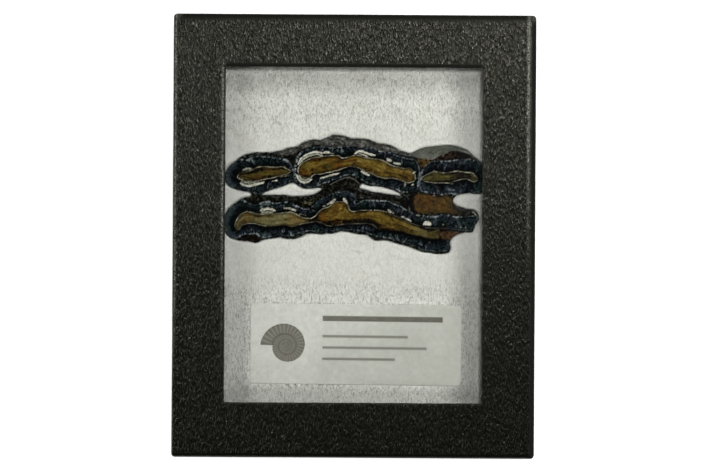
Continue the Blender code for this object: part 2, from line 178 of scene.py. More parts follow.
def smoothstep(low, high, value):
    """0 before low, 1 after high and smooth between them; low may be the greater, for a fall."""
    t = np.clip((value - low) / (high - low), 0, 1)
    return t * t * (3 - 2 * t)


def bump_at(centre, width, value):
    """A smooth bump of height 1 at the centre, gone at this distance on either side."""
    t = np.clip(1 - np.abs(value - centre) / width, 0, 1)
    return t * t * (3 - 2 * t)


# ------------------------------------------------------------------ curves through chosen points

def smooth_line(points, step=0.15):
    """A smooth open line through the points, cut into short equal stretches."""
    p = np.array(points, float)
    if len(p) == 1:
        p = np.array([p[0] - (0.01, 0), p[0] + (0.01, 0)])
    padded = np.vstack([2 * p[0] - p[1], p, 2 * p[-1] - p[-2]])
    pieces = []
    for a, b, c, d in zip(padded, padded[1:], padded[2:], padded[3:]):
        t = np.linspace(0, 1, max(2, int(np.hypot(*(c - b)) / step) + 1), endpoint=False)[:, None]
        pieces.append(0.5 * (2 * b + (c - a) * t + (2 * a - 5 * b + 4 * c - d) * t ** 2
                             + (3 * b - a - 3 * c + d) * t ** 3))
    return np.vstack(pieces + [p[-1:]])


def nearest(line, x, y):
    """Distance from each place to a line, and how far along the line its foot lies, in millimetres."""
    start, end = line[:-1], line[1:]
    along = end - start
    length = np.maximum(np.hypot(along[:, 0], along[:, 1]), 1e-9)
    before = np.concatenate([[0], np.cumsum(length)[:-1]])
    distance, travel = np.empty(len(x)), np.empty(len(x))
    for first in range(0, len(x), BLOCK):
        px = x[first:first + BLOCK, None] - start[None, :, 0]
        py = y[first:first + BLOCK, None] - start[None, :, 1]
        t = np.clip((px * along[:, 0] + py * along[:, 1]) / length ** 2, 0, 1)
        gap = np.hypot(px - t * along[:, 0], py - t * along[:, 1])
        best = gap.argmin(1)
        rows = np.arange(len(best))
        distance[first:first + BLOCK] = gap[rows, best]
        travel[first:first + BLOCK] = before[best] + t[rows, best] * length[best]
    return distance, travel


def inside(loop, x, y):
    """Whether each place lies inside a closed loop."""
    start, end = loop, np.roll(loop, -1, 0)
    result = np.empty(len(x), bool)
    for first in range(0, len(x), BLOCK):
        px, py = x[first:first + BLOCK, None], y[first:first + BLOCK, None]
        crosses = (start[:, 1] > py) != (end[:, 1] > py)
        rise = np.where(end[:, 1] == start[:, 1], 1e-9, end[:, 1] - start[:, 1])
        at = start[:, 0] + (py - start[:, 1]) * (end[:, 0] - start[:, 0]) / rise
        result[first:first + BLOCK] = (crosses & (px < at)).sum(1) % 2 == 1
    return result


# Each plate of the tooth, left to right along its top and along its bottom, in millimetres.
DENTINE = {
    "left": (
        [(-36.9, 18.5), (-36.2, 19.5), (-34.6, 20.0), (-33.0, 20.4), (-31.2, 21.2), (-29.6, 21.7),
         (-27.5, 21.6), (-25.0, 21.5), (-23.0, 21.7), (-21.4, 21.1), (-20.1, 20.5)],
        [(-36.9, 18.5), (-36.0, 17.9), (-34.4, 17.4), (-32.0, 17.2), (-30.2, 17.5), (-28.0, 18.0),
         (-25.0, 18.6), (-23.0, 19.25), (-21.4, 19.6), (-20.1, 20.5)]),
    "middle": (
        [(-17.8, 20.7), (-17.5, 21.8), (-16.4, 22.95), (-14.9, 23.9), (-13.0, 24.65), (-11.0, 24.9),
         (-8.1, 25.25), (-5.3, 25.3), (-4.3, 24.7), (-3.4, 24.5), (-2.0, 24.85), (0.0, 25.4), (1.5, 25.4),
         (3.0, 24.8), (5.2, 24.5), (7.5, 24.2), (9.3, 23.7), (10.7, 22.9), (12.0, 22.2), (14.0, 21.8),
         (15.6, 21.4), (17.2, 21.5), (18.3, 20.8), (19.0, 19.5), (19.3, 18.2)],
        [(-17.8, 20.7), (-17.4, 19.6), (-16.6, 18.9), (-15.3, 18.4), (-14.2, 18.4), (-13.3, 19.1),
         (-12.4, 19.6), (-10.6, 19.65), (-9.0, 20.1), (-6.8, 20.5), (-5.0, 21.0), (-3.2, 21.7), (-1.4, 22.1),
         (0.6, 21.9), (2.2, 21.3), (3.6, 20.5), (5.4, 20.0), (6.6, 19.4), (7.8, 18.9), (10.0, 18.5),
         (12.4, 18.5), (14.4, 18.0), (16.3, 17.3), (17.2, 17.1), (18.6, 17.5), (19.3, 18.2)]),
    "right": (
        [(21.2, 18.4), (22.2, 19.1), (23.4, 19.7), (24.8, 20.3), (26.2, 20.4), (28.2, 20.1), (30.2, 20.25),
         (32.2, 20.6), (34.2, 20.4), (36.2, 20.2), (37.3, 20.0), (38.3, 19.0), (39.0, 18.2)],
        [(21.2, 18.4), (22.3, 17.6), (24.0, 17.3), (26.0, 17.1), (28.5, 17.15), (30.1, 17.1), (31.6, 17.7),
         (33.2, 18.15), (35.2, 18.45), (36.4, 18.05), (37.4, 17.6), (38.4, 17.7), (39.0, 18.2)]),
    "lower": (
        [(-37.7, 3.0), (-37.1, 4.7), (-36.2, 6.1), (-35.0, 7.1), (-33.6, 7.45), (-31.8, 7.0), (-30.0, 6.65),
         (-27.5, 6.9), (-24.5, 6.95), (-22.0, 7.2), (-20.0, 7.35), (-18.4, 6.75), (-16.6, 5.8), (-14.8, 5.4),
         (-13.2, 5.6), (-12.0, 6.4), (-10.9, 7.7), (-9.8, 8.5), (-8.1, 9.1), (-6.7, 10.1), (-5.4, 10.7),
         (-3.8, 10.75), (-2.5, 10.35), (-2.0, 9.5), (-1.7, 8.5), (-0.9, 7.75), (0.4, 7.7), (2.2, 8.05),
         (5.4, 8.15), (8.1, 8.05), (10.0, 7.65), (12.0, 6.8), (14.0, 5.95), (16.0, 5.0), (18.0, 4.15),
         (20.0, 3.45), (22.0, 2.95), (24.0, 2.75), (25.6, 2.5), (27.1, 2.4)],
        [(-37.7, 3.0), (-37.0, 2.0), (-36.2, 2.2), (-35.7, 3.1), (-34.4, 3.8), (-32.0, 4.0), (-30.0, 3.6),
         (-28.2, 3.2), (-26.4, 2.9), (-24.0, 3.2), (-21.8, 3.4), (-20.3, 3.0), (-18.4, 3.3), (-16.4, 4.0),
         (-14.4, 4.3), (-12.0, 4.65), (-10.2, 4.25), (-8.4, 3.4), (-6.4, 3.35), (-4.0, 3.75), (-1.5, 4.0),
         (2.2, 4.1), (4.8, 4.1), (6.3, 3.5), (7.8, 2.5), (9.9, 2.15), (12.0, 1.9), (14.0, 1.75), (15.6, 1.3),
         (17.4, 0.8), (19.4, 0.4), (21.4, -0.1), (23.2, -0.55), (25.0, -0.85), (26.8, -0.6), (27.1, 2.4)]),
}

# Outer edge of the enamel round each plate, in the same order.
ENAMEL = {
    "left": (
        [(-41.6, 18.5), (-40.9, 21.5), (-38.8, 23.3), (-36.0, 24.1), (-34.0, 23.9), (-32.4, 24.7),
         (-29.8, 25.1), (-26.5, 24.9), (-24.0, 24.5), (-21.7, 24.3), (-20.3, 22.9), (-19.5, 21.4),
         (-19.0, 19.9)],
        [(-41.6, 18.5), (-40.8, 16.4), (-38.5, 14.9), (-35.5, 14.1), (-32.5, 13.5), (-30.0, 13.2),
         (-28.0, 14.0), (-25.0, 15.1), (-22.0, 16.2), (-20.3, 16.9), (-19.4, 17.8), (-19.0, 19.9)]),
    "middle": (
        [(-18.9, 20.2), (-18.8, 22.2), (-18.2, 24.6), (-17.2, 26.2), (-15.6, 27.2), (-13.4, 28.0),
         (-11.5, 28.3), (-8.0, 28.0), (-5.0, 28.2), (-2.0, 28.5), (2.0, 28.4), (5.0, 28.0), (8.0, 27.4),
         (10.0, 27.0), (12.0, 26.2), (13.6, 25.5), (15.6, 24.9), (17.5, 24.6), (19.0, 24.1), (20.0, 22.9),
         (20.5, 21.3), (20.7, 19.8)],
        [(-18.9, 20.2), (-18.7, 18.2), (-18.3, 16.9), (-17.2, 15.8), (-16.0, 15.2), (-14.6, 14.9),
         (-12.8, 15.5), (-11.0, 16.0), (-9.0, 16.9), (-7.0, 17.5), (-5.0, 18.3), (-3.4, 19.0), (-1.5, 19.4),
         (0.4, 19.1), (1.6, 18.4), (3.0, 17.4), (4.6, 16.7), (6.5, 16.2), (9.0, 15.9), (12.0, 15.2),
         (14.0, 14.5), (16.0, 13.9), (18.0, 14.1), (19.7, 14.5), (20.4, 16.5), (20.7, 19.8)]),
    "right": (
        [(20.9, 18.8), (21.2, 20.8), (22.2, 22.2), (23.4, 23.4), (24.6, 24.0), (26.4, 24.0), (28.4, 23.9),
         (30.6, 24.1), (33.2, 24.6), (35.6, 24.8), (38.0, 24.4), (40.0, 23.2), (41.8, 20.0)],
        [(20.9, 18.8), (20.7, 17.0), (20.9, 14.6), (22.4, 14.0), (24.4, 13.8), (26.6, 13.6), (28.4, 13.5),
         (30.4, 13.7), (32.4, 13.1), (35.0, 13.6), (38.0, 13.7), (40.0, 13.5), (41.5, 15.2), (41.8, 20.0)]),
    "lower": (
        [(-41.8, 3.5), (-41.0, 7.0), (-39.4, 9.2), (-37.5, 10.5), (-35.8, 11.1), (-34.0, 10.8), (-32.2, 9.8),
         (-30.8, 9.7), (-29.2, 10.5), (-27.2, 10.8), (-25.0, 10.4), (-22.6, 10.6), (-21.0, 10.7),
         (-19.4, 10.1), (-17.2, 9.1), (-15.2, 8.5), (-13.8, 8.7), (-12.8, 9.8), (-11.2, 11.2), (-9.4, 12.2),
         (-7.6, 13.1), (-5.8, 13.9), (-3.6, 14.1), (-1.6, 14.0), (-0.2, 13.1), (0.5, 11.9), (0.2, 10.8),
         (0.6, 10.3), (2.2, 11.0), (4.0, 11.6), (6.0, 11.4), (8.5, 11.4), (10.6, 11.2), (12.4, 10.5),
         (14.4, 9.6), (16.4, 8.6), (18.2, 7.7), (20.0, 6.9), (22.5, 6.6), (26.0, 6.6), (29.0, 7.0),
         (32.0, 6.5), (34.5, 6.4), (37.0, 6.7), (39.9, 6.0)],
        [(-41.8, 3.5), (-41.2, 1.2), (-39.6, -0.5), (-37.4, -1.2), (-35.6, -0.2), (-33.4, 0.4), (-31.0, 0.3),
         (-29.0, -0.5), (-27.0, -0.6), (-24.4, 0.1), (-22.0, 0.0), (-19.2, 0.1), (-17.0, 0.8), (-15.0, 1.5),
         (-12.0, 1.6), (-9.6, 1.4), (-7.0, 1.7), (-4.0, 2.1), (-1.0, 2.0), (2.0, 1.7), (4.5, 1.1),
         (6.4, 0.0), (8.6, -0.4), (11.0, -0.6), (13.0, -1.1), (15.0, -1.6), (17.0, -2.2), (19.0, -2.9),
         (21.0, -3.8), (23.0, -4.2), (25.0, -4.5), (27.5, -4.6), (29.4, -4.6), (30.9, -3.8), (30.9, -2.0),
         (31.0, -0.8), (33.0, 0.6), (35.5, 1.4), (38.0, 1.6), (39.9, 6.0)]),
}

# Chalky spots in the enamel: points along each, its greatest width, and how pale it is.
CHALK = [
    # left plate
    ([(-35.1, 20.7), (-33.9, 21.05), (-32.7, 21.2)], 0.85, 0.62),
    ([(-35.7, 17.0), (-34.0, 16.7), (-32.0, 16.7), (-30.0, 17.0)], 0.45, 0.8),
    ([(-35.9, 16.5), (-34.6, 15.9), (-33.0, 15.75), (-31.4, 16.0), (-30.2, 16.4), (-28.6, 16.9)], 0.85, 0.95),
    ([(-25.9, 17.25), (-24.2, 17.45)], 0.42, 0.75),
    ([(-22.4, 22.0), (-21.9, 22.15)], 0.5, 0.5),
    ([(-23.4, 18.7), (-22.0, 18.9), (-20.6, 19.2)], 0.4, 0.38),
    # middle plate
    ([(-17.7, 22.6), (-17.1, 24.0), (-15.8, 25.2), (-14.3, 26.0), (-12.7, 26.45), (-11.3, 26.5),
      (-10.1, 26.1)],
     0.75, 0.95),
    ([(-17.3, 22.9), (-16.2, 24.2), (-14.6, 25.1), (-13.0, 25.6), (-11.6, 25.7), (-10.0, 25.4)], 0.6, 0.75),
    ([(-9.7, 26.2), (-8.6, 26.5), (-7.7, 26.3)], 0.85, 0.85),
    ([(-7.6, 26.1), (-6.7, 25.95)], 0.4, 0.5),
    ([(-18.15, 19.3), (-17.7, 18.0), (-16.4, 17.05), (-15.0, 16.95), (-13.5, 17.9)], 0.75, 0.95),
    ([(-17.6, 19.1), (-16.9, 18.2), (-15.6, 17.65), (-14.2, 17.9)], 0.6, 0.7),
    ([(-10.7, 18.35), (-9.0, 18.75), (-7.0, 19.3), (-4.9, 19.95)], 0.62, 0.9),
    ([(0.2, 26.1), (1.0, 26.75), (2.2, 26.95), (3.4, 26.5), (4.4, 26.0), (6.5, 25.7)], 0.75, 0.95),
    ([(1.4, 26.1), (2.8, 25.75), (4.2, 25.1)], 0.5, 0.75),
    ([(7.8, 26.9), (8.8, 26.95), (9.6, 26.6)], 0.55, 0.42),
    ([(10.4, 24.5), (11.5, 23.8)], 1.1, 0.72),
    ([(12.6, 23.2), (13.6, 23.0), (14.5, 22.7)], 0.9, 0.78),
    ([(2.2, 20.4), (3.4, 19.9), (4.6, 19.2)], 0.85, 0.85),
    ([(18.7, 20.0), (19.1, 20.4)], 0.75, 0.8),
    ([(16.0, 16.9), (15.9, 16.1)], 0.75, 0.62),
    ([(18.2, 16.3), (18.6, 16.5)], 0.6, 0.62),
    # right plate
    ([(25.0, 20.9), (25.3, 20.9)], 0.5, 0.5),
    ([(30.6, 16.8), (31.2, 16.7)], 0.5, 0.4),
    ([(25.0, 13.0), (25.4, 13.0)], 0.6, 0.45),
    ([(27.4, 13.4), (27.7, 13.2)], 0.7, 0.5),
    # lower plate
    ([(-29.5, 8.1), (-27.3, 8.55), (-25.1, 8.0)], 0.95, 0.85),
    ([(-29.2, 7.4), (-27.0, 7.45), (-25.6, 7.35)], 0.4, 0.72),
    ([(-22.2, 8.8), (-20.6, 8.7), (-18.5, 8.0)], 0.8, 0.66),
    ([(-17.4, 7.0), (-16.2, 6.7), (-15.2, 6.3)], 0.35, 0.3),
    ([(-7.6, 10.4), (-6.8, 11.0), (-6.2, 11.5)], 0.95, 0.82),
    ([(-8.4, 10.0), (-8.0, 10.2)], 0.6, 0.72),
    ([(-9.9, 9.3), (-9.1, 9.6)], 0.4, 0.5),
    ([(-3.3, 11.7), (-2.7, 11.1), (-2.4, 10.5)], 0.95, 0.8),
    ([(10.8, 8.3), (11.7, 7.7)], 0.95, 0.7),
    ([(12.1, 7.6), (12.5, 7.3)], 0.6, 0.55),
    ([(15.0, 6.3), (16.5, 5.7), (18.0, 4.8)], 0.62, 0.68),
    ([(22.2, 4.0), (23.1, 4.3), (24.0, 3.9)], 1.45, 0.95),
    ([(19.9, 6.8), (20.6, 6.7)], 0.8, 0.45),
    ([(28.0, 3.9), (28.3, 3.9)], 0.55, 0.4),
    ([(32.1, 3.3), (32.5, 3.2)], 0.7, 0.42),
    ([(33.7, 3.5), (33.8, 2.6)], 0.55, 0.42),
    ([(35.3, 3.3), (35.3, 2.5)], 0.5, 0.38),
    ([(37.4, 8.0), (38.5, 6.9)], 0.45, 0.42),
    ([(23.7, -1.9), (24.0, -1.9)], 0.55, 0.35),
]

# Pale slate streaks where the enamel's bundles catch the light.
STREAKS = [
    ([(-21.8, 24.2), (-20.6, 23.3), (-19.8, 21.9), (-19.5, 20.3)], 0.45, 0.55),
    ([(-19.2, 24.6), (-19.0, 22.6), (-19.3, 20.6)], 0.4, 0.4),
    ([(-19.1, 19.9), (-18.9, 18.2), (-18.7, 16.9)], 0.4, 0.4),
    ([(19.2, 24.3), (20.0, 23.2), (20.5, 21.5), (20.6, 19.6), (20.4, 17.4), (20.4, 14.8)], 0.6, 0.5),
    ([(22.4, 22.3), (23.3, 23.2), (24.5, 23.8)], 0.55, 0.62),
    ([(21.3, 19.6), (21.7, 21.2), (22.2, 22.2)], 0.35, 0.4),
    ([(27.3, 23.7), (27.9, 23.1)], 0.45, 0.55),
    ([(26.2, 21.4), (26.6, 22.4)], 0.4, 0.4),
    ([(28.4, 21.0), (28.6, 21.9), (29.1, 22.9)], 0.45, 0.55),
    ([(33.4, 23.9), (33.2, 22.7)], 0.7, 0.42),
    ([(34.9, 24.2), (34.6, 23.1)], 0.5, 0.42),
    ([(33.2, 17.0), (34.1, 16.0)], 0.4, 0.5),
    ([(35.2, 16.7), (34.5, 16.0)], 0.4, 0.4),
    ([(33.5, 15.0), (33.7, 14.3)], 0.6, 0.4),
    ([(21.2, 16.2), (22.4, 15.0)], 0.35, 0.35),
    ([(24.4, 16.6), (26.0, 15.6), (27.0, 14.0)], 0.4, 0.32),
    ([(25.9, 6.5), (25.8, 5.2), (25.6, 3.4)], 0.5, 0.42),
    ([(26.2, 6.4), (27.2, 6.3)], 0.8, 0.42),
    ([(15.5, 13.2), (16.7, 12.6), (17.7, 11.4)], 0.6, 0.5),
    ([(17.3, 9.6), (17.4, 8.4), (18.1, 7.1)], 0.45, 0.5),
    ([(18.4, 7.9), (18.9, 7.2)], 0.8, 0.4),
    ([(-32.0, 2.2), (-31.5, 0.9)], 0.5, 0.42),
    ([(-26.6, 0.8), (-26.9, -0.9)], 0.4, 0.45),
    ([(-36.3, 2.0), (-38.0, 0.8)], 0.4, 0.3),
]
# ------------------------------------------------------------------ painting the slice

# Colours for a rising tone: each stop is a tone and its sRGB colour.
PALETTES = {
    "cement": [(0, (1, 2, 0)), (0.3, (24, 26, 17)), (0.6, (56, 58, 45)), (1, (118, 120, 102))],
    "boss": [(0, (2, 2, 0)), (0.3, (22, 22, 15)), (0.6, (48, 47, 37)), (1, (92, 90, 76))],
    "teal enamel": [(0, (1, 2, 1)), (0.18, (7, 13, 13)), (0.4, (23, 36, 38)), (0.65, (66, 78, 78)),
                    (1, (156, 162, 160))],
    "navy enamel": [(0, (1, 1, 2)), (0.18, (8, 11, 15)), (0.4, (27, 36, 44)), (0.65, (66, 75, 83)),
                    (1, (154, 159, 162))],
    "crust": [(0, (10, 10, 8)), (0.3, (50, 51, 46)), (0.6, (90, 90, 83)), (1, (150, 149, 138))],
    "lens": [(0, (22, 25, 20)), (0.3, (66, 71, 62)), (0.5, (94, 98, 87)), (0.8, (118, 120, 108)),
             (1, (140, 141, 130))],
    "earth under the lens": [(0.2, (3, 2, 1)), (0.5, (22, 16, 8)), (0.8, (60, 44, 25)), (1.1, (122, 104, 78))],
    "small wedge": [(0.2, (22, 17, 4)), (0.5, (62, 46, 14)), (0.8, (98, 72, 22))],
    "orange infill": [(0, (16, 9, 0)), (0.3, (48, 31, 2)), (0.55, (80, 56, 8)), (0.8, (112, 82, 20)),
                      (1.1, (146, 116, 44))],
    "arm": [(0.2, (3, 4, 1)), (0.5, (18, 17, 9)), (0.75, (56, 55, 40)), (1.0, (120, 120, 104))],
    "stain": [(0.3, (6, 4, 1)), (0.55, (30, 20, 9)), (0.8, (74, 56, 38))],
    "gold dentine": [(-0.2, (10, 6, 1)), (0.1, (42, 30, 5)), (0.35, (86, 67, 18)), (0.6, (120, 98, 37)),
                     (0.85, (142, 123, 58)), (1.1, (160, 146, 84))],
    "beige dentine": [(-0.2, (9, 8, 2)), (0.1, (42, 35, 12)), (0.35, (84, 75, 36)), (0.6, (112, 103, 60)),
                      (0.85, (130, 124, 84)), (1.1, (150, 145, 110))],
    "middle dentine": [(-0.2, (18, 11, 1)), (0.1, (54, 38, 6)), (0.35, (92, 70, 19)), (0.6, (124, 101, 38)),
                       (0.85, (150, 132, 66)), (1.1, (172, 158, 96))],
    "left dentine": [(-0.2, (14, 11, 2)), (0.1, (44, 35, 10)), (0.35, (76, 64, 23)), (0.6, (102, 90, 40)),
                     (0.85, (128, 117, 66)), (1.1, (146, 138, 92))],
    "right dentine": [(-0.2, (12, 10, 2)), (0.1, (44, 39, 12)), (0.35, (78, 72, 27)), (0.6, (102, 98, 50)),
                      (0.85, (130, 127, 80)), (1.1, (152, 148, 106))],
    "flesh": [(0.2, (34, 20, 9)), (0.5, (74, 54, 33)), (0.8, (112, 88, 62))],
    "chalk": [(0, (50, 52, 44)), (0.35, (124, 124, 104)), (0.65, (196, 194, 172)), (1.0, (240, 238, 220))],
    "sawn side": [(0.25, (24, 23, 18)), (0.5, (52, 50, 42)), (0.75, (88, 84, 72))],
    "film": [(0.2, (203, 205, 193)), (0.5, (221, 223, 212)), (0.8, (234, 236, 226))],
    "ammonite": [(0, (86, 84, 74)), (0.5, (128, 125, 112)), (1, (168, 166, 152))],
}


def ramp(tone, palette):
    """The colour that a palette gives each tone."""
    stops = PALETTES[palette]
    at = np.array([s[0] for s in stops], float)
    return np.stack([np.interp(tone, at, [s[1][c] for s in stops]) for c in range(3)], 1)


def mixed(colour, other, amount):
    """One colour drawn this far, from 0 to 1, towards another."""
    return colour + (np.asarray(other, float) - colour) * np.asarray(amount, float)[..., None]


def plate_measure(tops, bottoms, x, y):
    """Distance to a plate's outline, negative inside it, and how far along and across the plate it is."""
    top, bottom = smooth_line(tops, 0.4), smooth_line(bottoms, 0.4)
    to_top, along_top = nearest(top, x, y)
    to_bottom, along_bottom = nearest(bottom, x, y)
    loop = np.vstack([top, bottom[::-1]])
    is_in = inside(loop, x, y)
    distance = np.minimum(to_top, to_bottom)
    along = np.where(to_top < to_bottom, along_top, -along_bottom)
    across = to_top / np.maximum(to_top + to_bottom, 1e-6)
    return np.where(is_in, -distance, distance), along, across


def stroke(points, width, x, y):
    """How far inside a stroke each place is: 1 on its middle line, 0 at its edge, below 0 outside."""
    out = np.full(len(x), -9.0)
    pts = np.array(points, float)
    lo, hi = pts.min(0) - 1.6, pts.max(0) + 1.6
    near = (x > lo[0]) & (x < hi[0]) & (y > lo[1]) & (y < hi[1])
    if not near.any():
        return out
    line = smooth_line(points, 0.3)
    total = np.hypot(*np.diff(line, axis=0).T).sum()
    gap, travel = nearest(line, x[near], y[near])
    t = travel / total * 2 - 1
    half = width / 2 * np.sqrt(np.clip(1 - np.abs(t) ** 3 * 0.55, 0.05, 1))
    out[near] = 1 - gap / half
    return out


# Closed patches of the face, in millimetres.
ORANGE = [(18.6, 13.3), (20.5, 13.6), (23.0, 13.2), (25.5, 12.95), (28.5, 12.8), (30.2, 12.7), (30.8, 11.8),
          (30.9, 10.5), (31.8, 9.5), (33.4, 9.0), (35.6, 8.6), (36.9, 8.1), (36.7, 7.2), (34.8, 6.9),
          (33.0, 6.8), (30.5, 7.1), (28.0, 7.3), (25.0, 7.3), (22.0, 7.2), (20.2, 7.5), (18.9, 8.3),
          (18.5, 9.8), (18.4, 11.6)]
ARM = [(31.2, 10.0), (33.4, 9.2), (36.2, 8.9), (38.3, 9.0), (39.9, 8.0), (39.6, 6.9), (37.0, 6.7),
       (34.4, 6.6), (32.5, 7.0), (31.0, 8.2)]
WEDGE = [(27.1, 2.2), (28.4, 2.0), (30.0, 1.8), (32.2, 1.7), (34.6, 1.5), (35.2, 1.1), (33.4, 0.7),
         (31.8, 0.0), (30.6, -1.0), (29.0, -1.0), (27.6, -0.6), (27.1, 0.6)]
SMALL_WEDGE = [(19.7, 24.5), (22.0, 24.6), (24.7, 24.3), (23.6, 23.5), (22.6, 22.6), (21.7, 21.4),
               (21.1, 20.6), (20.7, 21.8), (20.3, 23.1)]
UNDER_LENS = [(24.4, 24.2), (26.4, 24.9), (28.2, 26.0), (30.2, 26.9), (32.0, 27.3), (34.2, 27.0),
              (36.0, 26.3), (38.0, 24.9), (39.5, 23.2), (37.0, 24.5), (34.6, 24.7), (32.0, 24.4),
              (29.0, 24.0), (26.6, 24.0)]
LEFT_PATCH = [(-35.0, -2.0), (-34.2, -0.6), (-32.6, 0.1), (-31.0, 0.2), (-29.6, -0.6), (-28.4, -1.8),
              (-30.0, -2.8), (-32.0, -3.4), (-34.0, -3.0)]
BOSS = [(-13.5, 13.6), (-10.6, 14.9), (-8.0, 16.7), (-5.6, 17.5), (-3.6, 18.5), (-1.6, 18.7), (0.4, 18.1),
        (1.7, 16.7), (2.0, 14.2), (0.4, 13.6), (-3.6, 14.4), (-6.5, 13.9), (-9.0, 12.6), (-11.5, 11.6)]
GRAIN_PATCH = [(-16.3, 10.2), (-15.6, 11.3), (-14.2, 11.6), (-12.9, 11.0), (-13.2, 10.2), (-14.6, 9.9)]

MARKS = [                       # points, width, colour and strength of single lines
    ([(27.0, -0.9), (27.1, 0.6), (27.2, 2.0)], 0.45, (28, 17, 8), 0.7),
    ([(26.6, -0.9), (28.6, -0.8), (30.6, -1.0)], 0.5, (14, 8, 12), 0.8),
    ([(22.6, 2.7), (26.0, 2.75), (29.5, 2.6), (33.0, 2.2), (36.0, 2.1), (38.5, 2.1)], 0.4,
     (112, 114, 108), 0.5),
    ([(29.6, 2.3), (31.5, 2.1), (33.5, 1.75), (35.5, 1.7), (37.9, 1.35)], 0.55, (3, 2, 1), 0.95),
    ([(22.3, 3.5), (23.2, 4.3), (24.1, 4.2)], 0.35, (84, 82, 64), 0.8),
    ([(-7.6, 16.2), (-5.9, 17.2), (-4.4, 17.9), (-3.0, 18.4), (-1.5, 18.5), (0.0, 17.9), (1.8, 16.3)], 0.42,
     (128, 130, 116), 0.75),
]


def region(points, x, y):
    """Signed distance to a closed patch, negative inside it, in millimetres."""
    pts = np.array(points, float)
    lo, hi = pts.min(0) - 1.5, pts.max(0) + 1.5
    near = (x > lo[0]) & (x < hi[0]) & (y > lo[1]) & (y < hi[1])
    out = np.full(len(x), 9.0)
    if near.any():
        loop = smooth_line(points + [points[0]], 0.4)
        gap, _ = nearest(loop, x[near], y[near])
        out[near] = np.where(inside(loop[:-1], x[near], y[near]), -gap, gap)
    return out


class Face:
    """The slice's painted face: an sRGB colour and a roughness at each place, laid on layer after layer."""

    def __init__(self, x, y, edge):
        """edge is each place's distance in from the outline; sx, sy and gx, gy are strayed places."""
        self.x, self.y, self.edge = x, y, edge
        self.colour, self.rough = np.zeros((len(x), 3)), np.full(len(x), POLISH_ROUGH)
        self.sx, self.sy = x + self.stray(2.6, 7, 0.30), y + self.stray(2.6, 9, 0.30)
        self.gx, self.gy = x + self.stray(0.9, 3, 0.6), y + self.stray(0.9, 5, 0.6)
        self.fine, self.grit = fractal(x * 2.2, y * 2.2, 71, 2), noise2(x * 2.9, y * 2.9, 77)
        self.plates = {}

    def stray(self, pitch, seed, reach):
        """A random offset at each place, up to half this reach, with this many changes to a millimetre."""
        return (fractal(self.x * pitch, self.y * pitch, seed) - 0.5) * reach

    def lay(self, colour, amount, rough=None, at=slice(None)):
        """Lays a colour, and a roughness, over the places chosen by at, each to its own amount."""
        self.colour[at] = mixed(self.colour[at], colour, amount)
        if rough is not None:
            self.rough[at] += (rough - self.rough[at]) * amount


def paint_cement(face):
    """The dark cement that everything else is laid over, and the paler boss in the middle."""
    x, y = face.x, face.y
    grain = fractal(x * 1.2, y * 1.7, 11)
    streak = noise2(x * 0.9 + grain, y * 2.3, 29)
    salt = smoothstep(0.66, 0.84, noise2(x * 2.4, y * 2.4, 23))
    level = 0.03 + 1.0 * (face.fine - 0.5) + 0.4 * (grain - 0.5) + 0.7 * (streak - 0.5) + 0.35 * salt
    face.lay(ramp(level, "cement"), 1.0)
    lift = 0.20 + 1.1 * (face.fine - 0.5) + 0.6 * (fractal(x * 1.1, y * 1.1, 33) - 0.5)
    boss = ramp(lift, "boss")
    face.lay(boss, smoothstep(0.2, -0.3, region(BOSS, face.gx, face.gy)))


